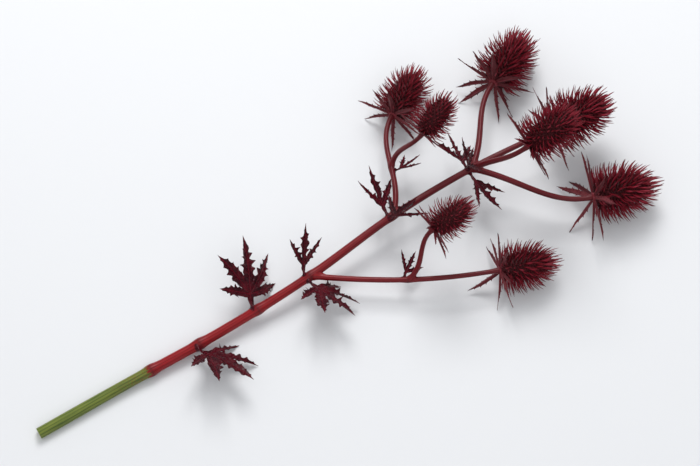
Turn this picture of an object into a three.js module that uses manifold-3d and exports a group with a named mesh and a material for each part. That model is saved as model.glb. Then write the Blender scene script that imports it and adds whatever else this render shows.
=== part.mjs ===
// A cut stem of sea holly, lying on its side along +Y with its heads towards +Y.
//
// The main stalk carries a terminal head. Three side stalks leave its crown node, and one leaves each of
// the two nodes below, which forks again into a small head. A head is a spiny cone on a ruff of narrow
// toothed bracts. Lobed, toothed leaves clasp the stalks at their nodes.
//
// Millimetres, +Z up. The origin lies on the surface under the stem, below the middle of its box.

import * as THREE from "three";
import { ConvexHull } from "three/addons/math/ConvexHull.js";
import { mergeVertices } from "three/addons/utils/BufferGeometryUtils.js";
import Module from "manifold-3d";

const wasm = await Module();
wasm.setup();

// ---------------------------------------------------------------- driving dimensions

const BUTT_RADIUS = 5; // the main stalk at its cut end
const NECK_RADIUS = 2.3; // and below its head
const NODE_SWELLING = 1.22; // how much thicker a stalk is at a node
const NODE_REACH = 7; // and how far to each side of the node that reaches
const SEAT_FLARE = 1.2; // how much thicker a stalk ends under its head
const LEAVING_ANGLE = 40; // degrees between a side stalk and the stalk that carries it
const GAP = 0.3; // between a piece and its seat

// The middle line of the main stalk, from the cut end to the seat of the terminal head.
const MAIN_ROUTE = [
  [0, -330, 4.2],
  [1, -240, 5.4],
  [4, -150, 9.5],
  [3, -60, 17],
  [-4, 30, 26],
  [-3, 112, 34],
  [5, 190, 42],
];
const MAIN_NODES = [1.75, 2.4, 3, 4, 5]; // in spans of that route

// Heads come in three sizes.
const LARGE = { length: 50, radius: 12.5, spine: 14, spines: 130, bracts: 9, bract: 38 };
const MEDIUM = { length: 44, radius: 11, spine: 12.3, spines: 112, bracts: 8, bract: 33 };
const SMALL = { length: 35, radius: 8.8, spine: 10, spines: 84, bracts: 7, bract: 27 };

// Side stalks. "at" is where one leaves its carrier: in spans of the main route, or as a share of a side
// stalk. "to" is the seat of its head, and "aim" the way that head looks.
const SIDE_STALKS = [
  { name: "crown_left", on: "main", at: 5, to: [-68, 178, 23.5], aim: [-0.42, 0.9, -0.02], head: LARGE },
  { name: "crown_right", on: "main", at: 5, to: [73, 190, 23.5], aim: [0.3, 0.95, -0.02], head: LARGE },
  { name: "crown_top", on: "main", at: 5, to: [26, 148, 90], aim: [0.12, 0.8, 0.58], head: MEDIUM },
  { name: "left", on: "main", at: 4, to: [-90, 84, 20.5], aim: [-0.5, 0.86, -0.02], head: MEDIUM },
  { name: "left_fork", on: "left", at: 0.45, to: [-42, 84, 66], aim: [-0.2, 0.82, 0.53], head: SMALL },
  { name: "right", on: "main", at: 3, to: [87, 82, 20.5], aim: [0.36, 0.93, -0.02], head: MEDIUM },
  { name: "right_fork", on: "right", at: 0.5, to: [38, 44, 60], aim: [0.1, 0.86, 0.5], head: SMALL },
];

// Leaves are broad low down and narrow higher up. "arch" is how far the lobes bend towards the heads at
// their tips, as a share of their length.
const BROAD = { lobes: 5, width: 0.31, arch: -0.09 };
const NARROW = { lobes: 3, width: 0.23, arch: 0.1 };

// "turn" is the side of the stalk that a leaf grows from, in degrees from +X upwards, "rise" how far it
// leans towards the heads, and "clasp" how far round the stalk its sheath goes.
const LEAVES = [
  { name: "lowest_leaf", on: "main", at: 1.75, turn: 20, kind: BROAD, length: 60, rise: 30, clasp: 150 },
  { name: "low_leaf", on: "main", at: 2.4, turn: 158, kind: BROAD, length: 62, rise: 28, clasp: 150 },
  { name: "right_leaf", on: "main", at: 3, turn: 12, kind: BROAD, length: 54, rise: 16, clasp: 100 },
  { name: "upper_leaf", on: "main", at: 3, turn: 150, kind: NARROW, length: 44, rise: 34, clasp: 100 },
  { name: "left_leaf", on: "main", at: 4, turn: 172, kind: NARROW, length: 46, rise: 12, clasp: 100 },
  { name: "top_leaf", on: "main", at: 4, turn: 68, kind: NARROW, length: 42, rise: 30, clasp: 90 },
  { name: "crown_leaf_right", on: "main", at: 5, turn: -14, kind: NARROW, length: 42, rise: 6, clasp: 80 },
  { name: "crown_leaf_left", on: "main", at: 5, turn: 194, kind: NARROW, length: 42, rise: 4, clasp: 80 },
  { name: "crown_leaf_top", on: "main", at: 5, turn: 92, kind: NARROW, length: 36, rise: 8, clasp: 80 },
  { name: "left_fork_leaf", on: "left", at: 0.45, turn: -8, kind: NARROW, length: 27, rise: 22, clasp: 110 },
  { name: "right_fork_leaf", on: "right", at: 0.5, turn: 188, kind: NARROW, length: 27, rise: 22, clasp: 99 },
];
const LOBE_ANGLES = { 3: [-44, 0, 44], 5: [-80, -40, 0, 40, 80] }; // degrees from the middle lobe
const LOBE_SHRINK = 0.74; // a lobe's length for each step away from the middle one
const LOBE_ROOT = 0.17; // where the side lobes leave the middle one, as a share of its length
const SHEATH_WALL = 1.1;
const SHEATH_FOOT = -6; // from the node, along the stalk
const SHEATH_TOP = -1.5;

const BRACT_WIDTH = 0.15; // of its length
const BLADE_THICKNESS = 0.8;
const BLADE_LIFT = 0.9; // the least height of a blade's middle over the surface
const GOLDEN_ANGLE = Math.PI * (3 - Math.sqrt(5));
const UP = new THREE.Vector3(0, 0, 1);

// ---------------------------------------------------------------- small helpers

const radians = (degrees) => (degrees * Math.PI) / 180;
const vector = (xyz) => new THREE.Vector3(...xyz);
const along = (start, direction, distance) => start.clone().addScaledVector(direction, distance);

// A repeatable number from -1 to 1 for one thing among its kind.
function scatter(place, kind) {
  const wave = Math.sin(12.9898 * (place + 1) + 78.233 * (kind + 1)) * 43758.5453;
  return 2 * (wave - Math.floor(wave)) - 1;
}

// Directions across an axis: "side" is level, and side, below and forward are right-handed.
function frameAlong(axis) {
  const forward = axis.clone().normalize();
  const side = new THREE.Vector3().crossVectors(forward, UP).normalize();
  const below = new THREE.Vector3().crossVectors(forward, side);
  return { side, below, forward };
}

// A matrix that puts a piece's +Z along an axis and its +X at an angle round it, from level upwards.
function placeOn(point, axis, degrees) {
  const { side, below, forward } = frameAlong(axis);
  const angle = radians(degrees);
  const outward = side.multiplyScalar(Math.cos(angle)).addScaledVector(below, -Math.sin(angle));
  const across = new THREE.Vector3().crossVectors(forward, outward);
  return new THREE.Matrix4().makeBasis(outward, across, forward).setPosition(point);
}

// A point of a placed piece, raised to a height over the surface if it is lower.
function keptAbove(point, place, height) {
  const placed = point.clone().applyMatrix4(place);
  placed.z = Math.max(placed.z, height);
  return placed.applyMatrix4(place.clone().invert());
}

function closedGeometry(points, faces) {
  const geometry = new THREE.BufferGeometry().setFromPoints(points);
  return geometry.setIndex(faces.flat());
}

// A closed geometry as a solid that can be joined to others.
function solidOf(geometry) {
  const bare = geometry.clone();
  for (const name of ["normal", "uv"]) bare.deleteAttribute(name);
  const merged = mergeVertices(bare, 1e-4);
  const vertProperties = merged.attributes.position.array;
  const triVerts = new Uint32Array(merged.index.array);
  return new wasm.Manifold(new wasm.Mesh({ numProp: 3, vertProperties, triVerts }));
}

// One geometry of closed ones that are sunk into each other.
function fused(geometries) {
  const whole = geometries.map(solidOf).reduce((sum, next) => sum.add(next));
  const { vertProperties, triVerts } = whole.getMesh();
  const geometry = new THREE.BufferGeometry();
  geometry.setAttribute("position", new THREE.BufferAttribute(new Float32Array(vertProperties), 3));
  return geometry.setIndex(new THREE.BufferAttribute(new Uint32Array(triVerts), 1));
}

// ---------------------------------------------------------------- stalks

// The main stalk: a smooth line through its route, thinning towards the head.
function mainStalk() {
  const curve = new THREE.CatmullRomCurve3(MAIN_ROUTE.map(vector), false, "catmullrom", 0.5);
  const spans = MAIN_ROUTE.length - 1;
  return {
    pointAt: (at) => curve.getPoint(at / spans),
    directionAt: (at) => curve.getTangent(at / spans),
    radiusAt: (at) => BUTT_RADIUS + (NECK_RADIUS - BUTT_RADIUS) * (at / spans) ** 1.3,
    length: curve.getLength(),
    end: spans,
    steps: 24,
    nodes: MAIN_NODES,
    sides: 8,
    head: LARGE,
  };
}

// A side stalk: it leaves its carrier at the leaving angle and bends round to the way its head looks.
function sideStalk({ at, to, aim, head }, carrier, nodes) {
  const start = carrier.pointAt(at);
  const end = vector(to);
  const leaving = carrier.directionAt(at);
  const outward = end.clone().sub(start).projectOnPlane(leaving).normalize();
  leaving.multiplyScalar(Math.cos(radians(LEAVING_ANGLE)));
  leaving.addScaledVector(outward, Math.sin(radians(LEAVING_ANGLE)));
  const reach = start.distanceTo(end);
  const firstHandle = along(start, leaving, 0.4 * reach);
  const lastHandle = along(end, vector(aim).normalize(), -0.35 * reach);
  const curve = new THREE.CubicBezierCurve3(start, firstHandle, lastHandle, end);
  const neck = (NECK_RADIUS * (LARGE.length + head.length)) / (2 * LARGE.length);
  return {
    pointAt: (at) => curve.getPoint(at),
    directionAt: (at) => curve.getTangent(at),
    radiusAt: (at) => neck * (1.25 - 0.25 * at),
    length: curve.getLength(),
    end: 1,
    steps: 8,
    nodes,
    sides: 6,
    head,
  };
}

// A stalk as a closed tube, with a ring at each step and three at each swollen node. Nothing of it goes
// below the surface.
function stalkGeometry(stalk) {
  const { nodes, length, end, steps, sides } = stalk;
  const reach = (NODE_REACH * end) / length;
  const nearNode = (at) => nodes.some((node) => Math.abs(node - at) < 1.3 * reach);
  const even = Array.from({ length: steps + 1 }, (_, i) => (i * end) / steps).filter((at) => !nearNode(at));
  const places = [...even, ...nodes.flatMap((node) => [node - reach, node, node + reach])];
  places.sort((a, b) => a - b);
  const vertices = places.flatMap((at) => {
    const { side, below } = frameAlong(stalk.directionAt(at));
    const thicker = nodes.includes(at) ? NODE_SWELLING : at === end ? SEAT_FLARE : 1;
    const radius = stalk.radiusAt(at) * thicker;
    return Array.from({ length: sides }, (_, j) => {
      const angle = ((j + 0.5) * 2 * Math.PI) / sides;
      const vertex = along(stalk.pointAt(at), side, radius * Math.cos(angle));
      vertex.addScaledVector(below, radius * Math.sin(angle));
      vertex.z = Math.max(vertex.z, 0);
      return vertex;
    });
  });
  const faces = [];
  const last = (places.length - 1) * sides;
  for (let row = 0; row < last; row += sides) {
    for (let j = 0; j < sides; j++) {
      const [a, b] = [row + j, row + ((j + 1) % sides)];
      faces.push([a, b, b + sides], [a, b + sides, a + sides]);
    }
  }
  for (let j = 1; j < sides - 1; j++) faces.push([0, j + 1, j], [last, last + j, last + j + 1]);
  return closedGeometry(vertices, faces);
}

// ---------------------------------------------------------------- blades

// A blade's outline: at each place from its root to its tip, as shares of its length, its half width as
// a share of the widest. Each tooth leans forward and falls back to a notch behind it.
function bladeOutline(teeth) {
  const envelope = (s) => 0.4 * (1 - s) + (0.6 + 0.4 * s) * Math.sin(Math.PI * s ** 0.7);
  const outline = [[0, envelope(0)]];
  for (let k = 0; k < teeth; k++) {
    const tooth = 0.14 + (0.7 * (k + 0.75)) / teeth;
    outline.push([tooth, envelope(tooth)], [tooth + 0.05, 0.5 * envelope(tooth + 0.05)]);
  }
  return outline;
}

// A thin toothed blade that grows from its root along "out", with its upper face towards "face". It
// bends up by "arch" at its tip. Where it would go through the surface under the stem, it turns up.
function bladeGeometry({ root, out, face, length, width, arch }, place) {
  const up = UP.clone().transformDirection(place.clone().invert());
  const leastRise = (BLADE_LIFT - root.clone().applyMatrix4(place).z) / length;
  let direction = out.clone().normalize();
  if (direction.dot(up) < leastRise) {
    direction = direction.projectOnPlane(up).setLength(Math.sqrt(1 - leastRise ** 2));
    direction.addScaledVector(up, leastRise);
  }
  const across = new THREE.Vector3().crossVectors(direction, face).normalize();
  const normal = new THREE.Vector3().crossVectors(across, direction);
  const pointAt = (s, half) => {
    const point = along(root, direction, s * length).addScaledVector(across, half * width);
    return keptAbove(point.addScaledVector(normal, arch * s ** 2), place, BLADE_LIFT);
  };
  const outline = bladeOutline(2);
  const rim = outline.flatMap(([s, wide]) => [pointAt(s, -wide / 2), pointAt(s, wide / 2)]);
  rim.push(pointAt(1, 0));
  const faceAt = (height) => rim.map((point) => along(point, normal, height));
  const vertices = [...faceAt(BLADE_THICKNESS / 2), ...faceAt(-BLADE_THICKNESS / 2)];
  const tip = rim.length - 1;
  const low = rim.length; // from a vertex of the upper face to the same one of the lower face
  const faces = [
    [low, low + 1, 1],
    [low, 1, 0],
  ];
  for (let k = 0; k < outline.length; k++) {
    const [l, r] = [2 * k, 2 * k + 1];
    const [nextL, nextR] = [Math.min(l + 2, tip), Math.min(r + 2, tip)];
    faces.push([l, r, nextR], [nextR + low, r + low, l + low]);
    if (nextL !== nextR) faces.push([l, nextR, nextL], [nextL + low, nextR + low, l + low]);
    faces.push([r + low, nextR + low, nextR], [r + low, nextR, r]);
    faces.push([nextL + low, l + low, l], [nextL + low, l, nextL]);
  }
  return closedGeometry(vertices, faces);
}

// ---------------------------------------------------------------- heads

// The body of a cone is an egg with full sides, cut off flat at its seat. Along it, u goes from SEAT_U
// at the seat to 1 at the top.
const SEAT_U = -0.86;
const ROOT_SIZE = 0.075; // a spine's root, as a share of its length
const coneRadius = (u, head) => head.radius * (1 - Math.abs(u) ** 2.3) ** (1 / 2.3) * (1 - 0.08 * u);
const coneShare = (u) => (u - SEAT_U) / (1 - SEAT_U);

function conePoint(u, angle, head) {
  const radius = coneRadius(u, head);
  return new THREE.Vector3(radius * Math.cos(angle), radius * Math.sin(angle), head.length * coneShare(u));
}

// Where the spines stand: each is turned by the golden angle from the last, and has the same area.
function spinePlaces(head) {
  const slices = 240;
  const [first, last] = [SEAT_U + 0.09, 0.985];
  const places = Array.from({ length: slices + 1 }, (_, i) => first + ((last - first) * i) / slices);
  const areas = [0];
  for (let i = 1; i <= slices; i++) {
    const [a, b] = [conePoint(places[i - 1], 0, head), conePoint(places[i], 0, head)];
    areas.push(areas[i - 1] + a.distanceTo(b) * (a.x + b.x));
  }
  return Array.from({ length: head.spines }, (_, n) => {
    const wanted = ((n + 0.5) / head.spines) * areas[slices];
    const i = areas.findIndex((area) => area >= wanted);
    const part = (wanted - areas[i - 1]) / (areas[i] - areas[i - 1]);
    return { u: places[i - 1] + part * (places[i] - places[i - 1]), angle: n * GOLDEN_ANGLE };
  });
}

// A spiny cone. Three root points for each spine and a ring round the seat span its body, and each
// root's face is drawn out to the spine's tip. Spines stand out at the seat and forward at the top.
function coneGeometry(head, place, number) {
  const size = ROOT_SIZE * head.spine;
  const lift = GAP + head.hubHeight + GAP;
  const roots = [];
  const tips = [];
  spinePlaces(head).forEach(({ u, angle }, n) => {
    const rise = (size * (1 - SEAT_U)) / head.length;
    const turn = (0.87 * size) / coneRadius(u, head);
    roots.push(conePoint(Math.min(u + rise, 0.999), angle, head));
    roots.push(conePoint(u - rise / 2, angle + turn, head), conePoint(u - rise / 2, angle - turn, head));
    const lean = radians(14 + 76 * coneShare(u) ** 1.9 + 6 * scatter(n, number));
    const reach = head.spine * (1 + 0.1 * scatter(n, number + 40));
    const tip = conePoint(u, angle, head);
    tip.x += reach * Math.cos(lean) * Math.cos(angle);
    tip.y += reach * Math.cos(lean) * Math.sin(angle);
    tip.z += reach * Math.sin(lean);
    tips.push(tip);
  });
  const seat = Array.from({ length: 10 }, (_, j) => conePoint(SEAT_U, (j * Math.PI) / 5, head));
  const points = [...roots, ...seat, ...tips];
  points.forEach((point) => (point.z += lift));
  const hull = new ConvexHull().setFromPoints(points.slice(0, roots.length + seat.length));

  const numberOf = new Map(points.map((point, i) => [point, i]));
  const faces = [];
  let drawnOut = 0;
  for (const { edge } of hull.faces) {
    const [a, b, c] = [edge.prev, edge, edge.next].map((one) => numberOf.get(one.head().point));
    const spine = Math.floor(a / 3);
    if (a < roots.length && spine === Math.floor(b / 3) && spine === Math.floor(c / 3)) {
      const tip = roots.length + seat.length + spine;
      faces.push([a, b, tip], [b, c, tip], [c, a, tip]);
      drawnOut++;
    } else {
      faces.push([a, b, c]);
    }
  }
  if (drawnOut < tips.length) throw new Error(`${tips.length - drawnOut} spines have no face to stand on`);
  return closedGeometry(points.map((point) => keptAbove(point, place, 0)), faces);
}

// A ruff: toothed bracts round a small disc. Those under the head fold back towards the stem.
function ruffGeometry(head, place, number) {
  const disc = new THREE.CylinderGeometry(head.hubRadius, 0.85 * head.hubRadius, head.hubHeight, 10);
  disc.rotateX(Math.PI / 2).translate(0, 0, GAP + head.hubHeight / 2);
  const bracts = Array.from({ length: head.bracts }, (_, k) => {
    const angle = (2 * Math.PI * (k + 0.25 * scatter(k, number))) / head.bracts;
    const outward = new THREE.Vector3(Math.cos(angle), Math.sin(angle), 0);
    const up = outward.clone().transformDirection(place).z;
    const rise = radians(-4 + 14 * up + 8 * scatter(k, number + 10));
    const bract = {
      root: along(new THREE.Vector3(0, 0, GAP + head.hubHeight / 2), outward, 0.72 * head.hubRadius),
      out: outward.multiplyScalar(Math.cos(rise)).addScaledVector(UP, Math.sin(rise)),
      face: UP,
      length: head.bract * (1 + 0.08 * scatter(k, number + 20)),
      width: head.bract * BRACT_WIDTH,
      arch: head.bract * 0.07 * scatter(k, number + 30),
    };
    return bladeGeometry(bract, place);
  });
  return fused([disc, ...bracts]);
}

// ---------------------------------------------------------------- leaves

// A leaf in its own frame: the stalk runs along +Z, and the leaf grows from its +X side. A sheath
// round part of the stalk carries a long middle lobe, and side lobes leave that low down.
function leafGeometry({ kind, length, rise, clasp }, stalkRadius, place) {
  const inner = stalkRadius + GAP;
  const half = radians(clasp / 2);
  const section = new THREE.Shape().absarc(0, 0, inner + SHEATH_WALL, -half, half, false);
  section.absarc(0, 0, inner, half, -half, true);
  const extrusion = { depth: SHEATH_TOP - SHEATH_FOOT, curveSegments: 4, bevelEnabled: false };
  const sheath = new THREE.ExtrudeGeometry(section, extrusion).translate(0, 0, SHEATH_FOOT);

  const tilt = radians(rise);
  const out = new THREE.Vector3(Math.cos(tilt), 0, Math.sin(tilt));
  const towardsHeads = new THREE.Vector3(-Math.sin(tilt), 0, Math.cos(tilt));
  const up = UP.clone().transformDirection(place.clone().invert());
  const face = towardsHeads.addScaledVector(up, 1.2).projectOnPlane(out).normalize();
  const root = new THREE.Vector3(inner + SHEATH_WALL / 2, 0, (SHEATH_FOOT + SHEATH_TOP) / 2);
  const blades = LOBE_ANGLES[kind.lobes].map((angle, i) => {
    const step = Math.abs(i - (kind.lobes - 1) / 2);
    const reach = length * LOBE_SHRINK ** step;
    const lobe = {
      root: along(root, out, step ? LOBE_ROOT * length : 0),
      out: out.clone().applyAxisAngle(face, radians(angle)),
      face,
      length: reach,
      width: reach * kind.width,
      arch: reach * kind.arch,
    };
    return bladeGeometry(lobe, place);
  });
  return fused([sheath, ...blades]);
}

// ---------------------------------------------------------------- the whole stem

const finish = (color, roughness) => new THREE.MeshStandardMaterial({ color, roughness, metalness: 0 });
const STALK_FINISH = finish(0x8c1a20, 0.55);
const CONE_FINISH = finish(0x5a1018, 0.8);
const BRACT_FINISH = finish(0x84494b, 0.7);
const LEAF_FINISH = finish(0x4a0f18, 0.45);

function namedMesh(name, geometry, material) {
  const mesh = new THREE.Mesh(geometry, material);
  mesh.name = name;
  return mesh;
}

// A head on the end of its stalk: the ruff, and the cone seated on it.
function headGroup(name, stalk, number) {
  const head = { ...stalk.head, hubRadius: 0.36 * stalk.head.radius, hubHeight: 0.2 * stalk.head.radius };
  const place = placeOn(stalk.pointAt(stalk.end), stalk.directionAt(stalk.end), 90);
  const group = new THREE.Group();
  group.add(namedMesh(`ruff_${name}`, ruffGeometry(head, place, number), BRACT_FINISH));
  group.add(namedMesh(`cone_${name}`, coneGeometry(head, place, number), CONE_FINISH));
  group.applyMatrix4(place);
  return group;
}

function leafMesh(leaf, stalk) {
  const place = placeOn(stalk.pointAt(leaf.at), stalk.directionAt(leaf.at), leaf.turn);
  const geometry = leafGeometry(leaf, stalk.radiusAt(leaf.at) * NODE_SWELLING, place);
  const mesh = namedMesh(leaf.name, geometry, LEAF_FINISH);
  mesh.applyMatrix4(place);
  return mesh;
}

function seaHollyStem() {
  const stalks = { main: mainStalk() };
  for (const side of SIDE_STALKS) {
    const forks = SIDE_STALKS.filter((other) => other.on === side.name).map((other) => other.at);
    stalks[side.name] = sideStalk(side, stalks[side.on], forks);
  }
  const stem = new THREE.Group();
  stem.add(namedMesh("stem", fused(Object.values(stalks).map(stalkGeometry)), STALK_FINISH));
  Object.entries(stalks).forEach(([name, stalk], number) => stem.add(headGroup(name, stalk, number)));
  for (const leaf of LEAVES) stem.add(leafMesh(leaf, stalks[leaf.on]));

  const box = new THREE.Box3().setFromObject(stem, true);
  stem.position.set(-(box.min.x + box.max.x) / 2, -(box.min.y + box.max.y) / 2, 0);
  return stem;
}

export default seaHollyStem();
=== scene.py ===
"""The looks of a cut stem of dyed sea holly that lies on its side.

One stalk forks to spiny heads, each a cone of florets on a ruff of toothed bracts, and lobed leaves
clasp the stalk at its nodes. The plan is in millimetres, with +Y from the cut end to the heads and +Z
up, as in the frame. Points become metres when a mesh is made of them.
"""

import logging
import math
from dataclasses import dataclass, field, replace
from enum import Enum, IntEnum
from functools import cached_property
from typing import Any, Optional, Sequence, Union

import bpy
import numpy as np
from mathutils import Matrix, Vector


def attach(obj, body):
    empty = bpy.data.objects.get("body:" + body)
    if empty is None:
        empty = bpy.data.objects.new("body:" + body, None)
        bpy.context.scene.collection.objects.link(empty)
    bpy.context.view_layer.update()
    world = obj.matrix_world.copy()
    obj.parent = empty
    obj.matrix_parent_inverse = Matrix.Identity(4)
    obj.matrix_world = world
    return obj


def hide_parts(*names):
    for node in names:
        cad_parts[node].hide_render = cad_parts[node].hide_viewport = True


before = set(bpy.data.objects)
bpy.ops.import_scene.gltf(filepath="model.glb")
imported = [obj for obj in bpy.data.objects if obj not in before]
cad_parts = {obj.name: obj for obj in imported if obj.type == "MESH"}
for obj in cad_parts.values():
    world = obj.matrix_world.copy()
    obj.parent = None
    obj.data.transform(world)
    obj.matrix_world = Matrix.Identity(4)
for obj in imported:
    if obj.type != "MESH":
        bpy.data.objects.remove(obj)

Array = np.ndarray
Paint = Union[float, Array]
Point = tuple[float, float, float]
Colour = tuple[float, float, float, float]

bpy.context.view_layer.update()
MM = 0.001
PLAN_SHIFT = np.array([1.895, 37.081, 0.0])  # from the plan's origin to the frame's
UP = np.array([0.0, 0.0, 1.0])
TINY = 1e-12  # the least that anything is divided by
GOLDEN_ANGLE = math.pi * (3 - math.sqrt(5))
CREASE_ANGLE = math.radians(60)  # from which an edge between two faces looks sharp
GAP = 0.3  # between a piece and its seat
SPINE_LIFT = 0.05  # the least height of a spine's tip over the surface
BRACT_LIFT = 0.1  # the same for a bract's edges
SHEATH_LIFT = 0.5  # the same for a leaf's base
BLADE_LIFT = 0.9  # the same for the middle of a blade

log = logging.getLogger("sea_holly")


# ------------------------------------------------------------------ small helpers


def unit(vectors: Array) -> Array:
    """Vectors scaled to length 1 along their last axis."""
    return vectors / np.maximum(np.linalg.norm(vectors, axis=-1, keepdims=True), TINY)


def square_to(vectors: Array, ways: Array) -> Array:
    """Directions without their part along the ways: unit(v - w(v . w)), where w has length 1."""
    return unit(vectors - ways * np.sum(vectors * ways, axis=-1, keepdims=True))


def scatter(places: Union[int, Array], kind: int) -> Array:
    """Repeatable numbers from -1 to 1: twice the fraction of a fast sine of place and kind, less 1."""
    wave = np.sin(12.9898 * (np.asarray(places) + 1) + 78.233 * (kind + 1)) * 43758.5453
    return 2 * (wave - np.floor(wave)) - 1


def bell(distance: Array, reach: float) -> Array:
    """A bell curve: exp(-(distance / reach)^2)."""
    return np.exp(-((distance / reach) ** 2))


def smooth_step(low: float, high: float, values: Array) -> Array:
    """0 below low and 1 above high, with the usual cubic between them, 3s^2 - 2s^3."""
    share = np.clip((values - low) / (high - low), 0, 1)
    return share * share * (3 - 2 * share)


def kept_above(heights: Array, least: Paint, softness: float = 0.6) -> Array:
    """Heights that stay over the least, with a smooth bend: d = h - least becomes (d + (d^2 + b^2)^0.5) / 2,
    where b is the softness."""
    over = heights - least
    return least + (over + np.sqrt(over**2 + softness**2)) / 2


def turns(count: int) -> Array:
    """Angles that share out a full turn evenly, from 0."""
    return 2 * math.pi * np.arange(count) / count


def outward(angle: Array) -> Array:
    """Level directions at angles about a piece's own axis."""
    return np.stack([np.cos(angle), np.sin(angle), np.zeros_like(angle)], axis=-1)


def sideways(angle: Array) -> Array:
    """Level directions a quarter turn ahead of the outward ones."""
    return np.stack([-np.sin(angle), np.cos(angle), np.zeros_like(angle)], axis=-1)


def slerp(first: Array, second: Array, part: Array) -> Array:
    """Ways that turn evenly from one to another.

    Where a is the angle between them, they are made of sin((1 - p)a) / sin a of the first and of
    sin(pa) / sin a of the second.

    Args:
        first: the ways at the start.
        second: the ways at the end.
        part: how far they have turned, p, from 0 to 1.

    Returns:
        The ways.
    """
    angle = np.arccos(np.clip(np.sum(first * second, axis=-1, keepdims=True), -1, 1))
    whole = np.maximum(np.sin(angle), TINY)
    return unit(first * np.sin((1 - part) * angle) / whole + second * np.sin(part * angle) / whole)


@dataclass(frozen=True)
class Placement:
    """Where a piece grows: an origin, and its outward, across and forward directions as rows."""

    origin: Array
    axes: Array

    @classmethod
    def on(cls, point: Array, axis: Array, degrees: float) -> "Placement":
        """Puts forward along an axis, and outward at an angle round it, from level upwards.

        Args:
            point: the origin.
            axis: the direction of forward, which isn't upright.
            degrees: the angle of outward.

        Returns:
            The placement.
        """
        forward = unit(np.asarray(axis, float))
        side = unit(np.cross(forward, UP))
        below = np.cross(forward, side)
        angle = math.radians(degrees)
        out = side * math.cos(angle) - below * math.sin(angle)
        return cls(np.asarray(point, float), np.stack([out, np.cross(forward, out), forward]))

    def points(self, local: Array) -> Array:
        """Points of the piece's own frame in the plan's frame."""
        return self.origin + local @ self.axes

    def directions(self, local: Array) -> Array:
        """Directions of the piece's own frame in the plan's frame."""
        return local @ self.axes

    def local(self, points: Array) -> Array:
        """Points of the plan's frame in the piece's own frame."""
        return (points - self.origin) @ self.axes.T


# ------------------------------------------------------------------ the plan's sizes


@dataclass(frozen=True)
class HeadSize:
    """The sizes of a head: its cone, its spines and the bracts of its ruff."""

    length: float
    radius: float
    spine: float
    bracts: int
    bract: float
    florets: int

    @property
    def disc_radius(self) -> float:
        """The radius of the disc that the bracts grow from."""
        return 0.36 * self.radius

    @property
    def disc_height(self) -> float:
        """That disc's height."""
        return 0.2 * self.radius


class Head(Enum):
    """The sizes that heads come in."""

    LARGE = HeadSize(length=50, radius=12.5, spine=14, bracts=9, bract=38, florets=335)
    MEDIUM = HeadSize(length=44, radius=11, spine=12.3, bracts=8, bract=33, florets=285)
    SMALL = HeadSize(length=35, radius=8.8, spine=10, bracts=7, bract=27, florets=215)


def envelope(shares: Array) -> Array:
    """A blade's half width without teeth, from 0 to about 1: 0.4(1 - s) + (0.6 + 0.4s) sin(pi s^0.7)."""
    return 0.4 * (1 - shares) + (0.6 + 0.4 * shares) * np.sin(math.pi * shares**0.7)


@dataclass(frozen=True)
class Teeth:
    """The teeth of one edge. Places are shares of the blade's length, widths are of its envelope."""

    count: int
    first: float
    last: float
    body: float  # the edge between the teeth
    spike: float  # how far a tooth stands out of it
    back: float  # the length of a tooth's long side
    front: float  # the length of its short side
    needle: float = 0.2  # how far it stands out at two thirds of its long side, as a share of the spike
    hook: float = 0.0  # how far its tip leans forward
    vary: float = 0.2  # how much the spikes differ
    run_out: tuple[float, ...] = (0.97, 0.9, 0.8, 0.7)  # the body's width over the last stretch
    plain_root: float = 0.06  # the toothless stretch at the root ends here or further on
    plain_tip: float = 0.96  # and the one at the tip begins here or before

    def edge(self, offset: float, number: int = 0) -> tuple[Array, Array, Array]:
        """The edge as points, joined by straight lines.

        Args:
            offset: how far the teeth are moved along the blade, in steps from tooth to tooth.
            number: the edge's own number, by which its teeth differ from those of other edges.

        Returns:
            The points' shares of the length from 0 to 1, their widths, and how far they lean forward.
        """
        step = (self.last - self.first) / max(self.count - 1, 1)
        tips = self.first + step * (np.arange(self.count) + offset)
        shape = np.array([-self.back, -self.back / 3, 0, self.front / 3, self.front])
        shares = (tips[:, None] + shape).ravel()
        tall = self.spike * (1 + self.vary * scatter(np.arange(self.count), number))
        width = (np.array([0, self.needle, 1, self.needle, 0]) * tall[:, None] + self.body).ravel()
        hook = np.tile([0, 0, self.hook, 0, 0], self.count)

        ends = len(self.run_out)
        start = np.linspace(0, max(shares[0], self.plain_root), ends + 1)[:-1]
        stop = np.linspace(min(shares[-1], self.plain_tip), 1.0, ends + 1)[1:]
        rise = 1 + (self.body - 1) * np.arange(ends) / ends
        none = np.zeros(ends)
        return (
            np.concatenate([start, shares, stop]),
            np.concatenate([rise, width, self.body * np.array(self.run_out)]),
            np.concatenate([none, hook, none]),
        )


@dataclass(frozen=True)
class LobePlan:
    """How a leaf is cut: its lobes' directions in degrees, their width and bend by length, their teeth."""

    angles: tuple[float, ...]
    width: float
    arch: float
    teeth: Teeth

    @property
    def axes(self) -> Array:
        """The lobes' directions in radians."""
        return np.radians(np.array(self.angles))


class Leaf(Enum):
    """The two kinds of leaf, from low on the stalk and from higher up."""

    BROAD = LobePlan(
        angles=(-80, -40, 0, 40, 80),
        width=0.31,
        arch=-0.09,
        teeth=Teeth(4, first=0.5, last=0.9, body=0.68, spike=0.58, back=0.088, front=0.035, needle=0.28),
    )
    NARROW = LobePlan(
        angles=(-44, 0, 44),
        width=0.23,
        arch=0.1,
        teeth=Teeth(3, first=0.46, last=0.84, body=0.7, spike=0.6, back=0.12, front=0.05, needle=0.28),
    )


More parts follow.
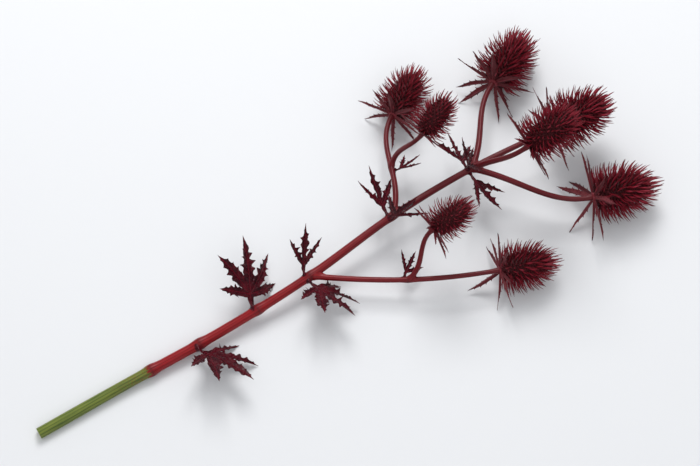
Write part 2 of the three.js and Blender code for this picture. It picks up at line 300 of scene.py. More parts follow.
MAIN_ROUTE = np.array(
    [
        [0, -330, 4.2],
        [1, -240, 5.4],
        [4, -150, 9.5],
        [3, -60, 17],
        [-4, 30, 26],
        [-3, 112, 34],
        [5, 190, 42],
    ],
    float,
)
MAIN_NODES = (1.22, 1.75, 2.4, 3.0, 4.0, 5.0)  # in spans of that route; the first has lost its leaf


@dataclass(frozen=True)
class Branch:
    """A side stalk of the plan: its carrier, where it leaves it, and where its head sits and looks."""

    name: str
    carrier: str
    at: float
    to: Point
    aim: Point
    head: Head


BRANCHES = (
    Branch("crown_left", "main", 5.0, (-68, 178, 23.5), (-0.42, 0.9, -0.02), Head.LARGE),
    Branch("crown_right", "main", 5.0, (73, 190, 23.5), (0.3, 0.95, -0.02), Head.LARGE),
    Branch("crown_top", "main", 5.0, (26, 148, 90), (0.12, 0.8, 0.58), Head.MEDIUM),
    Branch("left", "main", 4.0, (-90, 84, 20.5), (-0.5, 0.86, -0.02), Head.MEDIUM),
    Branch("left_fork", "left", 0.45, (-42, 84, 66), (-0.2, 0.82, 0.53), Head.SMALL),
    Branch("right", "main", 3.0, (87, 82, 20.5), (0.36, 0.93, -0.02), Head.MEDIUM),
    Branch("right_fork", "right", 0.5, (38, 44, 60), (0.1, 0.86, 0.5), Head.SMALL),
)


@dataclass(frozen=True)
class Sprout:
    """A leaf of the plan: its place, its turn round the stalk, its kind and its size.

    The turn, the rise over square to the stalk and the part of the stalk that it clasps are in degrees.
    """

    name: str
    stalk: str
    at: float
    turn: float
    kind: Leaf
    length: float
    rise: float
    clasp: float


SPROUTS = (
    Sprout("lowest_leaf", "main", 1.75, 20, Leaf.BROAD, 60, 30, 150),
    Sprout("low_leaf", "main", 2.4, 158, Leaf.BROAD, 62, 28, 150),
    Sprout("right_leaf", "main", 3.0, 12, Leaf.BROAD, 54, 16, 100),
    Sprout("upper_leaf", "main", 3.0, 150, Leaf.NARROW, 44, 34, 100),
    Sprout("left_leaf", "main", 4.0, 172, Leaf.NARROW, 46, 12, 100),
    Sprout("top_leaf", "main", 4.0, 68, Leaf.NARROW, 42, 30, 90),
    Sprout("crown_leaf_right", "main", 5.0, -14, Leaf.NARROW, 42, 6, 80),
    Sprout("crown_leaf_left", "main", 5.0, 194, Leaf.NARROW, 42, 4, 80),
    Sprout("crown_leaf_top", "main", 5.0, 92, Leaf.NARROW, 36, 8, 80),
    Sprout("left_fork_leaf", "left", 0.45, -8, Leaf.NARROW, 27, 22, 110),
    Sprout("right_fork_leaf", "right", 0.5, 188, Leaf.NARROW, 27, 22, 99),
)


# ------------------------------------------------------------------ meshes


def placed(name: str, data: bpy.types.ID) -> bpy.types.Object:
    """A new object of the scene, at the origin, that holds the data.

    Args:
        name: its name.
        data: a mesh, a light or a camera.

    Returns:
        The object.
    """
    made = bpy.data.objects.new(name, data)
    bpy.context.scene.collection.objects.link(made)
    return made


class Skin:
    """Collects closed tubes and makes one mesh of them.

    A tube is a row of closed rings with a point at each end. Rings run counter-clockwise about the
    way from the first to the last, so that the faces look outwards. A blade is a tube with flat rings.
    """

    def __init__(self) -> None:
        """Starts with nothing."""
        self._points: list[Array] = []
        self._corners: list[Array] = []
        self._sizes: list[Array] = []
        self._paint: list[dict[str, Array]] = []
        self._count = 0

    def add(self, rings: Array, start: Array, end: Array, **paint: Paint) -> None:
        """Adds tubes that are alike in their counts.

        Each ring's points are joined to the next ring's by four-sided faces, and the first and last
        rings to the end points by fans.

        Args:
            rings: their points in the plan's millimetres, as tubes x rings x points x 3.
            start: the points that close their first rings, as tubes x 3.
            end: the same for their last rings.
            **paint: values at the rings' points, which broadcast to tubes x rings x points.
        """
        tubes, rows, columns = rings.shape[:3]
        last = rows * columns + 1
        block = np.concatenate([start[:, None], rings.reshape(tubes, -1, 3), end[:, None]], axis=1)
        self._points.append(block.reshape(-1, 3))

        here = np.arange(columns)
        after = (here + 1) % columns
        low = 1 + np.arange(rows - 1)[:, None] * columns
        high = low + columns
        walls = np.stack([low + here, low + after, high + after, high + here], -1).reshape(-1, 4)
        bottom = np.stack([np.zeros(columns, int), 1 + after, 1 + here], -1)
        top = np.stack([np.full(columns, last), last - columns + here, last - columns + after], -1)
        moved = self._count + np.arange(tubes)[:, None, None] * (last + 1)
        for faces in (walls, bottom, top):
            self._corners.append((faces[None] + moved).reshape(-1))
            self._sizes.append(np.full(tubes * len(faces), faces.shape[1]))
        values = {}
        for name, value in paint.items():
            full = np.broadcast_to(np.asarray(value, float), (tubes, rows, columns))
            ends = [full[:, :1].mean(axis=2), full[:, -1:].mean(axis=2)]
            values[name] = np.concatenate([ends[0], full.reshape(tubes, -1), ends[1]], axis=1).ravel()
        self._paint.append(values)
        self._count += tubes * (last + 1)

    def make(self, name: str, material: bpy.types.Material) -> bpy.types.Object:
        """Makes the object.

        Args:
            name: its name.
            material: its finish.

        Returns:
            The object, at the origin, with its place in its mesh.
        """
        points = (np.concatenate(self._points) + PLAN_SHIFT) * MM
        points[:, 2] = np.maximum(points[:, 2], 0.0)
        corners = np.concatenate(self._corners)
        sizes = np.concatenate(self._sizes)
        mesh = bpy.data.meshes.new(name)
        mesh.vertices.add(len(points))
        mesh.vertices.foreach_set("co", points.astype(np.float32).ravel())
        mesh.loops.add(len(corners))
        mesh.loops.foreach_set("vertex_index", corners.astype(np.int32))
        mesh.polygons.add(len(sizes))
        mesh.polygons.foreach_set("loop_start", (np.cumsum(sizes) - sizes).astype(np.int32))
        mesh.update(calc_edges=True)
        for key in sorted({key for values in self._paint for key in values}):
            blocks = zip(self._points, self._paint)
            value = np.concatenate([paint.get(key, np.zeros(len(block))) for block, paint in blocks])
            layer = mesh.attributes.new(key, "FLOAT", "POINT")
            layer.data.foreach_set("value", value.astype(np.float32))
        mesh.shade_smooth()
        mesh.set_sharp_from_angle(angle=CREASE_ANGLE)
        mesh.materials.append(material)
        return placed(name, mesh)


@dataclass
class Awls:
    """Slender pointed spines, each of which is widest a little above its root.

    A spine's middle line runs from root to tip, bowed by bow x 4s(1 - s) at a share s of its length.
    Its half width is width x (1 - s)^0.65 x (0.75 + 0.8s), and it is four fifths as thick as it is wide.
    """

    root: Array  # n x 3, as are tip, flat and bow
    tip: Array
    flat: Array  # the direction of a spine's width
    bow: Array  # how far its middle is moved
    width: Array  # half its width at the root, n
    sides: int
    stations: Array  # the shares of its length that have a ring, from 0

    point: float = 0.65
    root_share: float = 0.75
    swell: float = 0.8
    thickness: float = 0.8
    sunk: float = 0.2  # how far its root's end is below its first ring

    def grown(self, place: Placement) -> "Awls":
        """The same spines on a piece, where tips that would go through the surface below are moved up to it.

        Args:
            place: where the piece grows.

        Returns:
            The spines in the plan's frame.
        """
        tip = place.points(self.tip)
        tip[:, 2] = np.maximum(tip[:, 2], SPINE_LIFT)
        flat, bow = place.directions(self.flat), place.directions(self.bow)
        return replace(self, root=place.points(self.root), tip=tip, flat=flat, bow=bow)

    def weave(self, skin: Skin, **paint: Paint) -> None:
        """Adds the spines, with their own values for where a point is along and how near to the keel.

        Args:
            skin: what they are added to.
            **paint: values for each spine, n or one.
        """
        way = unit(self.tip - self.root)
        flat = square_to(self.flat, way)
        deep = np.cross(way, flat)
        share = self.stations[None, :, None]
        line = self.root[:, None] + (self.tip - self.root)[:, None] * share
        line = line + self.bow[:, None] * 4 * share * (1 - share)
        shape = (1 - self.stations) ** self.point * (self.root_share + self.swell * self.stations)
        half = (np.asarray(self.width)[:, None] * shape)[..., None, None]
        angle = turns(self.sides)
        spread = flat[:, None, None] * np.cos(angle)[:, None]
        spread = spread + self.thickness * deep[:, None, None] * np.sin(angle)[:, None]
        rings = line[:, :, None] + half * spread
        values = {name: np.reshape(value, (-1, 1, 1)) for name, value in paint.items()}
        # keel is 1 on a spine's keels, where the finish paints highlights.
        keel = np.abs(np.sin(angle))
        skin.add(rings, self.root - way * self.sunk, self.tip, along=share, keel=keel, **values)


@dataclass
class Piece:
    """A piece that is one mesh, with the skin that its methods add to."""

    skin: Skin = field(default_factory=Skin, init=False)

    def weave(self) -> None:
        """Adds all that the piece consists of."""
        raise NotImplementedError

    def build(self, finish: bpy.types.Material, name: str) -> bpy.types.Object:
        """Makes the piece.

        Args:
            finish: its material.
            name: its name.

        Returns:
            The object.
        """
        self.weave()
        return self.skin.make(name, finish)


# ------------------------------------------------------------------ stalks


@dataclass(kw_only=True)
class Stalk:
    """A stalk: a smooth line, thicker at its nodes and its seat, with fine ribs along it."""

    nodes: tuple[float, ...]
    end: float
    ribs: int
    rings: int

    swelling: float = 0.22  # at a node, as a share of the radius
    swelling_reach: float = 5.0
    seat_swelling: float = 0.3
    seat_reach: float = 4.0
    rib_depth: float = 0.05
    rib_points: int = 6  # round the stalk, for each rib
    groove_shape: float = 0.6  # under 1, the grooves are narrower than the ribs
    lump: float = 0.012
    lump_turn: float = 9.1
    lump_waves: float = 31.0
    joint_reach: float = 6.0  # of the darker skin at a node
    grain_radius: float = 0.004  # metres round which the grain is drawn
    direction_step: float = 1e-4  # of the end, to each side of a place
    length_steps: int = 200

    def point(self, at: Array) -> Array:
        """The middle line's points, where at runs from 0 to end."""
        raise NotImplementedError

    def radius(self, at: Array) -> Array:
        """The plain radius, without nodes and ribs."""
        raise NotImplementedError

    def direction(self, at: Array) -> Array:
        """The middle line's directions: the difference of two points close to each other.

        Args:
            at: the places.

        Returns:
            The directions.
        """
        at = np.asarray(at, float)
        step = self.direction_step * self.end
        low, high = np.clip(at - step, 0, self.end), np.clip(at + step, 0, self.end)
        return unit(self.point(high) - self.point(low))

    @cached_property
    def length(self) -> float:
        """The middle line's length, as the sum of its short steps."""
        line = self.point(np.linspace(0, self.end, self.length_steps + 1))
        return float(np.linalg.norm(np.diff(line, axis=0), axis=1).sum())

    def run(self, at: Array) -> Array:
        """Lengths along the stalk that are as long as at says."""
        return at * self.length / self.end

    def full_radius(self, at: Array) -> Array:
        """The radius with a bell curve at each node and one at the seat.

        Args:
            at: the places.

        Returns:
            radius(at) x (1 + swelling x the nodes' bells + seat swelling x the seat's bell).
        """
        at = np.asarray(at, float)
        from_nodes = self.run(at[..., None] - np.array(self.nodes))
        thicker = 1 + self.swelling * bell(from_nodes, self.swelling_reach).sum(axis=-1)
        thicker += self.seat_swelling * bell(self.run(self.end - at), self.seat_reach)
        return self.radius(at) * thicker

    def joined(self, at: Array, rim: Array, radius: Array) -> Array:
        """The radius in each direction, widened where the stalk runs into another. The main one doesn't."""
        return radius

    def weave(self, skin: Skin) -> None:
        """Adds the stalk's tube.

        At an angle a and a share s of the stalk, the radius is the full radius x (1 - depth x
        (1 - |cos(ribs x a / 2)|^0.6)) x (1 + lump x sin(9.1s + 2a) x sin(31s)).

        Args:
            skin: what it is added to.
        """
        at = np.linspace(0, self.end, self.rings)
        around = turns(self.ribs * self.rib_points)
        ridge = np.abs(np.cos(self.ribs * around / 2)) ** self.groove_shape
        forward = self.direction(at)
        side = unit(np.cross(forward, UP))
        below = np.cross(forward, side)
        rows = at[:, None]
        share = rows / self.end
        lumps = np.sin(self.lump_turn * share + 2 * around) * np.sin(self.lump_waves * share)
        radius = self.full_radius(at)[:, None] * (1 + self.lump * lumps) * (1 - self.rib_depth * (1 - ridge))
        rim = side[:, None] * np.cos(around)[:, None] + below[:, None] * np.sin(around)[:, None]
        rings = self.point(at)[:, None] + self.joined(at, rim, radius)[..., None] * rim
        near = bell(self.run(rows - np.array(self.nodes)), self.joint_reach).sum(axis=-1)[:, None]
        # The finish paints highlights on the ribs' crests and shade in their grooves by the ridge.
        paint = {"ridge": ridge, "joint": near, "run": self.run(rows) * MM, "cut": 0.0}
        paint["grain_x"] = self.grain_radius * np.cos(around)
        paint["grain_z"] = self.grain_radius * np.sin(around)
        self._close(skin, rings[None], paint)

    def _close(self, skin: Skin, rings: Array, paint: dict[str, Paint]) -> None:
        """Closes the tube with a point at each end, and adds it."""
        ends = self.point(np.array([0, self.end]))
        skin.add(rings, ends[:1], ends[1:], **paint)


@dataclass(kw_only=True)
class MainStalk(Stalk):
    """The stalk that was cut off: it thins from its cut end to its head."""

    butt_radius: float = 5.0
    neck_radius: float = 2.3
    thinning: float = 1.3  # over 1, it thins slowly at first
    cut_rings: tuple[float, ...] = (0.12, 0.3, 0.55, 0.75, 0.9, 0.97)  # by the rim's radius
    cut_depths: tuple[float, ...] = (0.7, 0.5, 0.25, 0.1, 0.0, 0.0)
    cut_middle: float = 0.8  # how deep the pith is in the middle

    def point(self, at: Array) -> Array:
        """Points on the curve through the route: cubic spans whose slope at each route point is half the
        way between its neighbours, with one more point beyond each end, straight on.

        Args:
            at: the places, in spans.

        Returns:
            The points.
        """
        ends = 2 * MAIN_ROUTE[[0, -1]] - MAIN_ROUTE[[1, -2]]
        route = np.concatenate([ends[:1], MAIN_ROUTE, ends[1:]])
        at = np.asarray(at, float)
        span = np.clip(np.floor(at).astype(int), 0, len(MAIN_ROUTE) - 2)
        t = (at - span)[..., None]
        a, b, c, d = (route[span + i] for i in range(4))
        bend = (2 * a - 5 * b + 4 * c - d) * t**2 + (3 * b - a - 3 * c + d) * t**3
        return (2 * b + (c - a) * t + bend) / 2

    def radius(self, at: Array) -> Array:
        """It falls from the butt's to the neck's, slowly at first."""
        share = np.asarray(at, float) / self.end
        return self.butt_radius + (self.neck_radius - self.butt_radius) * share**self.thinning

    def _close(self, skin: Skin, rings: Array, paint: dict[str, Paint]) -> None:
        """Closes the cut end with a flat face, whose rings shrink to the pith in its middle, a little sunk.

        Args:
            skin: what the tube is added to.
            rings: its rings.
            paint: its values. The cut is 2 in the middle of the face, 1 at its rim and 0 along the stalk.
        """
        shares, depths = np.array(self.cut_rings), np.array(self.cut_depths)
        middle, ahead = self.point(np.array([0.0]))[0], self.direction(np.array([0.0]))[0]
        face = middle + (rings[0, 0] - middle) * shares[:, None, None] + ahead * depths[:, None, None]
        for key in ("joint", "run"):
            paint[key] = np.concatenate([np.zeros((len(shares), 1)), paint[key]])
        paint["cut"] = np.concatenate([2 - shares, np.zeros(rings.shape[1])])[:, None]
        pith, seat = middle + self.cut_middle * ahead, self.point(np.array([self.end]))
        skin.add(np.concatenate([face[None], rings], axis=1), pith[None], seat, **paint)


@dataclass(kw_only=True)
class SideStalk(Stalk):
    """A stalk that leaves another at an angle and bends round to the way its head looks."""

    carrier: Stalk
    at: float
    to: Point
    aim: Point
    head: HeadSize

    leaving_angle: float = math.radians(40)
    set_out: float = 0.4  # how far it keeps to that angle, of its reach
    come_in: float = 0.35  # how far it looks as its head does, of its reach
    root_thicker: float = 0.25
    web: float = 2.6  # how far the joint's surface runs out at most
    web_start: float = 0.7  # of the carrier's radius, from which the web is whole
    web_length: float = 24.0
    web_steps: int = 25
    web_smoothing: int = 3
    carrier_spots: int = 130
    carrier_share: float = 0.965  # of its radius, for its grooves
    least_web: float = 1e-6

    @cached_property
    def handles(self) -> Array:
        """The cubic's control points.

        Returns:
            The start, one along the leaving direction, one behind the seat against the aim, and the seat.
        """
        start = self.carrier.point(np.array(self.at))
        forward = self.carrier.direction(np.array(self.at))
        seat = np.array(self.to, float)
        out = square_to(seat - start, forward)
        leaving = forward * math.cos(self.leaving_angle) + out * math.sin(self.leaving_angle)
        reach = np.linalg.norm(seat - start)
        behind = seat - unit(np.array(self.aim, float)) * reach * self.come_in
        return np.stack([start, start + leaving * reach * self.set_out, behind, seat])

    def point(self, at: Array) -> Array:
        """Points on the cubic with those handles."""
        t, (a, b, c, d) = np.asarray(at, float)[..., None], self.handles
        return a * (1 - t) ** 3 + 3 * b * t * (1 - t) ** 2 + 3 * c * t**2 * (1 - t) + d * t**3

    def radius(self, at: Array) -> Array:
        """It falls by a fifth from the root to the head, and is less under a smaller head."""
        neck = MainStalk.neck_radius * (1 + self.head.length / Head.LARGE.value.length) / 2
        return neck * (1 + self.root_thicker - self.root_thicker * np.asarray(at, float))

    def joined(self, at: Array, rim: Array, radius: Array) -> Array:
        """Widens the root so that its surface runs smoothly into its carrier's.

        With d and D as a point's distances out of this stalk and out of its carrier, the joint surface is
        where min(d, D) = w h^2 / 4, with h = 1 - |d - D| / w and not under 0. Each point goes out in even
        steps until it is there, or by w at the most. The web w grows from 0 on the carrier's middle line.

        Args:
            at: the rings' places.
            rim: the directions from the middle line to the rings' points.
            radius: the radius at those points.

        Returns:
            The widened radius.
        """
        rows = at * self.length < self.web_length
        spots = np.linspace(-1, 1, self.carrier_spots) * self.web_length
        spots = np.clip(self.at + spots * self.carrier.end / self.carrier.length, 0, self.carrier.end)
        line, thick = self.carrier.point(spots), self.carrier.full_radius(spots) * self.carrier_share
        middle, rim, own = self.point(at[rows])[:, None], rim[rows], radius[rows]
        away = np.linalg.norm(middle - line, axis=-1).min(axis=1)[:, None]
        web = self.web * smooth_step(0, self.web_start * float(thick.max()), away) + self.least_web
        out, within = np.zeros_like(own), np.ones(own.shape, bool)
        last = -web / 4
        for part in np.linspace(0, 1, self.web_steps):
            points = middle + (own + part * web)[..., None] * rim
            carrier_out = (np.linalg.norm(points[:, :, None] - line, axis=-1) - thick).min(axis=-1)
            share = np.maximum(1 - np.abs(part * web - carrier_out) / web, 0)
            over = np.minimum(part * web, carrier_out) - web * share**2 / 4
            # The place where the joint surface is crossed, in line between two steps.
            crossed = part - over / np.maximum(over - last, TINY) / (self.web_steps - 1)
            out = np.where(within, np.where(over < 0, part, np.clip(crossed, 0, part)), out)
            within, last = within & (over < 0), over
        for _ in range(self.web_smoothing):
            wider = np.concatenate([out[:1], out, out[-1:]])
            out = (wider[:-2] + 2 * out + wider[2:]) / 4
        return np.concatenate([own + out * web, radius[~rows]])


# ------------------------------------------------------------------ heads


class SpineDraw(IntEnum):
    """The series that a cone's repeatable numbers come from, counted from the cone's own number."""

    LEAN = 0
    AWN_TURN = 5
    AWN_REACH = 9
    AWN_TINT = 17
    SWING = 20
    TINT = 30
    REACH = 40
    FLORET_TINT = 60
    WIDTH = 80


@dataclass
class Cone(Piece):
    """A cone: an egg of florets, each with a long stiff spine under it and short awns round it."""

    size: HeadSize
    place: Placement
    number: int

    seat_u: float = -0.86  # the cone's profile runs from here to u = 1
    fullness: float = 2.3  # over 2, the egg's sides are fuller than an ellipse's
    taper: float = 0.08
    first_u: float = 0.04  # the lowest floret's place over the seat
    last_u: float = 0.99
    area_steps: int = 400

    core: float = 0.93  # the core's radius, of the egg's; the core is coloured with the painted shade
    core_top: float = 0.985  # its height, of the egg's
    core_last_u: float = 0.97
    core_rings: int = 20
    core_sides: int = 30

    floret: float = 0.11  # its size, of the cone's radius
    floret_heights: tuple[float, ...] = (-0.3, 0.5, 1.1, 1.5)  # of its size
    floret_widths: tuple[float, ...] = (0.6, 1.0, 0.85, 0.4)
    floret_tip: float = 0.15
    floret_sides: int = 6
    floret_shade_depth: tuple[float, float] = (0.1, 0.5)  # out of the cone's painted shade, at its foot and its top

    lean_shape: float = 2.1  # over 1, the spines stay level longer than they turn up
    lean_vary: float = 13.0  # degrees
    swing_vary: float = 0.22
    size_vary: float = 0.25  # of spines and awns
    base_reach: float = 1.08  # a spine's length at the seat, of the head's spines
    top_shorter: float = 0.2
    spine_root: float = 0.1  # how deep its root is, of the cone's radius
    spine_bow: float = 0.09
    spine_width: float = 0.064  # half of it, of a spine's length
    spine_stations: tuple[float, ...] = (0, 0.16, 0.34, 0.54, 0.74, 0.9)

    awns_each: int = 3
    awn_length: float = 0.34  # of a spine's
    awn_width: float = 0.05
    awn_root: float = 0.97
    awn_spread: float = 0.55
    awn_rise: float = 0.5
    awn_offset: float = 0.08
    awn_turn_vary: float = 0.35
    awn_shade_depth: float = 0.6  # out of the cone's painted shade, where a long spine has 1
    awn_stations: tuple[float, ...] = (0, 0.45, 0.8)

    @property
    def lift(self) -> float:
        """How far the cone's seat is from the stalk's end."""
        return 2 * GAP + self.size.disc_height

    def draw(self, count: Array, series: SpineDraw) -> Array:
        """The cone's own numbers of a series, from -1 to 1."""
        return scatter(count, self.number + series)

    def share(self, u: Array) -> Array:
        """Where u is between the seat, 0, and the top, 1."""
        return (u - self.seat_u) / (1 - self.seat_u)

    def profile(self, u: Array) -> Array:
        """The egg's radius: (1 - |u|^n)^(1/n) times a slight taper towards the top."""
        rim = np.maximum(1 - np.abs(u) ** self.fullness, 0) ** (1 / self.fullness)
        return self.size.radius * rim * (1 - self.taper * u)

    def surface(self, u: Array, angle: Array, scale: float = 1.0) -> Array:
        """Points of the egg in the head's own frame.

        Args:
            u: their places from the seat to the top.
            angle: their angles about the head's axis.
            scale: what their radius is multiplied by.

        Returns:
            The points.
        """
        u, angle = np.broadcast_arrays(u, angle)
        radius = scale * self.profile(u)
        height = self.size.length * self.share(u) + self.lift
        return radius[..., None] * outward(angle) + height[..., None] * UP

    @cached_property
    def spots(self) -> tuple[Array, Array]:
        """The florets' places: spots with equal areas, each turned by the golden angle from the last.

        Returns:
            Their u and their angle. u is where the area from the seat up reaches each spot's share.
        """
        count = self.size.florets
        u = np.linspace(self.seat_u + self.first_u, self.last_u, self.area_steps)
        line = self.surface(u, np.zeros_like(u))
        steps = np.linalg.norm(np.diff(line, axis=0), axis=1) * (line[1:, 0] + line[:-1, 0])
        area = np.concatenate([[0], np.cumsum(steps)])
        wanted = (np.arange(count) + 0.5) / count * area[-1]
        return np.interp(wanted, area, u), np.arange(count) * GOLDEN_ANGLE

    def lean(self, u: Array, noise: Array) -> Array:
        """A spine's angle above the seat's plane: 0 degrees at the seat, rising faster than evenly to 90 at
        the top, give or take 13."""
        return np.radians(90 * self.share(u) ** self.lean_shape + self.lean_vary * noise)

    def weave(self) -> None:
        """Adds the core, then the florets with their spines and awns."""
        self._core()
        self._florets()
        self._spines()
        self._awns()

    def _core(self) -> None:
        """Adds the body that the florets stand on, coloured with the painted shade: the egg with a smaller
        radius.
        """
        u = np.linspace(self.seat_u, self.core_last_u, self.core_rings)
        rings = self.place.points(self.surface(u[:, None], turns(self.core_sides), self.core))
        ends = UP * np.array([[self.lift], [self.size.length * self.core_top + self.lift]])
        seat, top = self.place.points(ends[:1]), self.place.points(ends[1:])
        self.skin.add(rings[None], seat, top, depth=0.0, tint=0.0, along=0.0, keel=0.0)

    def _normals(self, u: Array, angle: Array) -> Array:
        """The egg's outward directions, square to its slope along u.

        Args:
            u: the places from the seat to the top.
            angle: the angles about the head's axis.

        Returns:
            The directions in the head's own frame.
        """
        step, last = 0.005, 0.999
        slope = self.surface(np.minimum(u + step, last), angle) - self.surface(u - step, angle)
        return unit(np.cross(sideways(angle), slope))

    def _florets(self) -> None:
        """Adds the florets: small buds that stand on the core along its normals."""
        u, angle = self.spots
        foot, out, aside = self.surface(u, angle, self.core), self._normals(u, angle), sideways(angle)
        ahead = np.cross(out, aside)
        size = self.floret * self.size.radius
        heights = np.array(self.floret_heights) * size
        widths = np.array(self.floret_widths) * size
        turn = turns(self.floret_sides)
        spread = aside[:, None, None] * np.cos(turn)[:, None] + ahead[:, None, None] * np.sin(turn)[:, None]
        rings = foot[:, None, None] + out[:, None, None] * heights[:, None, None]
        rings = self.place.points(rings + spread * widths[:, None, None])
        start = self.place.points(foot + out * heights[0])
        end = self.place.points(foot + out * (heights[-1] + self.floret_tip * size))
        tint = self.draw(np.arange(len(u)), SpineDraw.FLORET_TINT)[:, None, None]
        # Painted shade: each floret is darker towards its foot, deep in the cone.
        depth = np.linspace(*self.floret_shade_depth, len(heights))[None, :, None]
        self.skin.add(rings, start, end, depth=depth, tint=tint, along=0.0, keel=0.0)

    def _spines(self) -> None:
        """Adds the long spines. Each is flat across the cone and bowed a little outwards."""
        u, angle = self.spots
        count, size = np.arange(len(u)), self.size
        lean = self.lean(u, self.draw(count, SpineDraw.LEAN))
        longer = self.size_vary * self.draw(count, SpineDraw.REACH)
        reach = size.spine * (self.base_reach - self.top_shorter * self.share(u) ** 2 + longer)
        swing = angle + self.swing_vary * self.draw(count, SpineDraw.SWING)
        way = outward(swing) * np.cos(lean)[:, None] + UP * np.sin(lean)[:, None]
        surface = self.surface(u, angle)
        spines = Awls(
            root=surface - way * self.spine_root * size.radius,
            tip=surface + way * reach[:, None],
            flat=sideways(swing),
            bow=np.cross(sideways(swing), way) * (self.spine_bow * reach)[:, None],
            width=self.spine_width * size.spine * (1 + self.size_vary * self.draw(count, SpineDraw.WIDTH)),
            sides=4,
            stations=np.array(self.spine_stations),
        )
        # The spines' roots take the painted shade, which fades along them.
        spines.grown(self.place).weave(self.skin, depth=1.0, tint=self.draw(count, SpineDraw.TINT))

    def _awns(self) -> None:
        """Adds the short awns: a few round each floret, spread from its normal."""
        each = self.awns_each
        u, angle = (np.repeat(values, each) for values in self.spots)
        count = np.arange(len(u))
        out, aside = self._normals(u, angle), sideways(angle)
        ahead = np.cross(out, aside)
        turn = 2 * math.pi * (count % each + self.awn_turn_vary * self.draw(count, SpineDraw.AWN_TURN)) / each
        ring = aside * np.cos(turn)[:, None] + ahead * np.sin(turn)[:, None]
        lean = self.lean(u, np.zeros_like(u))[:, None]
        spine_way = outward(angle) * np.cos(lean) + UP * np.sin(lean)
        way = unit(spine_way + out * self.awn_rise + ring * self.awn_spread)
        foot = self.surface(u, angle, self.awn_root) + ring * self.awn_offset * self.size.radius
        longer = 1 + self.size_vary * self.draw(count, SpineDraw.AWN_REACH)
        reach = self.size.spine * self.awn_length * longer
        awns = Awls(
            root=foot,
            tip=foot + way * reach[:, None],
            flat=np.cross(way, ring),
            bow=np.zeros_like(foot),
            width=self.awn_width * reach,
            sides=3,
            stations=np.array(self.awn_stations),
        )
        tint = self.draw(count, SpineDraw.AWN_TINT)
        awns.grown(self.place).weave(self.skin, depth=self.awn_shade_depth, tint=tint)


@dataclass
class Blade:
    """A bract: a stiff folded blade with a thick midrib, toothed edges and a spine for a tip."""

    place: Placement
    root: Array
    out: Array
    face: Array
    length: float
    width: float
    arch: float
    twist: float
    tint: float
    sway: float

    edges: Teeth = Teeth(4, first=0.3, last=0.8, body=0.88, spike=0.55, back=0.06, front=0.024, hook=0.02)
    stagger: float = -0.45  # of the left edge's teeth, in steps from tooth to tooth
    last: float = 0.998  # the share of the length that the last ring is before
    fold: float = 0.34
    thickness: float = 0.45
    rib: float = 0.55
    taper: tuple[float, float] = (1.15, 0.3)  # the thickness is the first less the share, down to the second
    ruffle: float = 0.12
    ruffle_waves: float = 9.0
    sunk: float = 0.3  # how far the root's end is behind its first ring
    # The ring goes from the upper middle to the right edge, back below to the left edge, and home.
    ring_x: tuple[float, ...] = (0, 0.22, 0.62, 1, 0.6, 0.2, 0, -0.2, -0.6, -1, -0.62, -0.22)
    ring_height: tuple[float, ...] = (0.3, 0.5, 0.5, 0, -0.5, -0.6, -1, -0.6, -0.5, 0, 0.5, 0.5)
    ring_rib: int = 6  # the place of the midrib's lowest point in it

    def weave(self, skin: Skin) -> None:
        """Adds the blade.

        A point at a share s along and x across is at root + s x length along, x x half width + sway s^2
        across, and arch s^2 + fold |x| x half width along the normal, turned about the middle by
        twist s^2. Both edges have teeth, those of one edge between those of the other.

        Args:
            skin: what it is added to.
        """
        root, way = self.place.points(self.root), self.place.directions
        across, along, normal = clear_directions(root, way(self.out), way(self.face), self.length)
        sides = [self.edges.edge(0.0), self.edges.edge(self.stagger)]
        share = np.unique(np.round(np.concatenate([side[0] for side in sides]), 4))
        share = share[share < self.last]
        wide = [np.interp(share, side[0], side[1])[:, None] for side in sides]
        hook = [np.interp(share, side[0], side[2])[:, None] for side in sides]
        share = share[:, None]

        x = np.array(self.ring_x)
        thick = np.array(self.ring_height) * self.thickness
        thick[self.ring_rib] -= self.rib
        right, edge = x > 0, np.abs(x) == 1
        teeth = np.where(right, *wide)
        aside = envelope(share) * self.width / 2 * x * np.where(edge, teeth, self.edges.body)
        lean = edge * np.where(right, *hook) * self.length
        ruffle = self.ruffle * self.width * x**2 * np.sin(self.ruffle_waves * share + 5 * self.tint) * share
        high = self.fold * np.abs(aside) + thick * np.clip(self.taper[0] - share, self.taper[1], 1) + ruffle
        turn = self.twist * share**2
        flat = aside * np.cos(turn) - high * np.sin(turn) + self.sway * share**2
        raised = aside * np.sin(turn) + high * np.cos(turn) + self.arch * share**2
        forward = share * self.length + lean
        rings = root + flat[..., None] * across + forward[..., None] * along + raised[..., None] * normal
        lowest = rings[..., 2].min(axis=1)
        raise_by = kept_above(lowest, BRACT_LIFT) - lowest
        rings[..., 2] += raise_by[:, None]
        start = rings[:1].mean(axis=1) - self.sunk * along
        end = root + self.length * along + self.arch * normal + self.sway * across + UP * raise_by[-1]
        across = x * np.where(edge, teeth, 1)
        skin.add(rings[None], start, end[None], across=across, along=share, tint=self.tint)


def clear_directions(root: Array, out: Array, face: Array, length: float) -> tuple[Array, Array, Array]:
    """A blade's directions, turned up where its tip would go through the surface below.

    Where the upward part of the way out is less than what keeps the tip at the lift, it becomes that
    much, and the level part is scaled so that the way keeps its length.

    Args:
        root: the blade's root in the plan.
        out: the way that it wants to grow.
        face: the way that its upper face looks.
        length: its length.

    Returns:
        Its across, along and normal directions.
    """
    least = (BLADE_LIFT - root[2]) / length
    along = unit(out)
    if along[2] < least:
        level = unit(along * np.array([1, 1, 0]))
        along = level * math.sqrt(1 - least**2) + UP * least
    across = unit(np.cross(along, face))
    return across, along, np.cross(across, along)


class BractDraw(IntEnum):
    """The series that a ruff's repeatable numbers come from, counted from the ruff's own number."""

    TURN = 0
    RISE = 10
    LENGTH = 20
    ARCH = 30
    TWIST = 50
    TINT = 70
    SWAY = 90


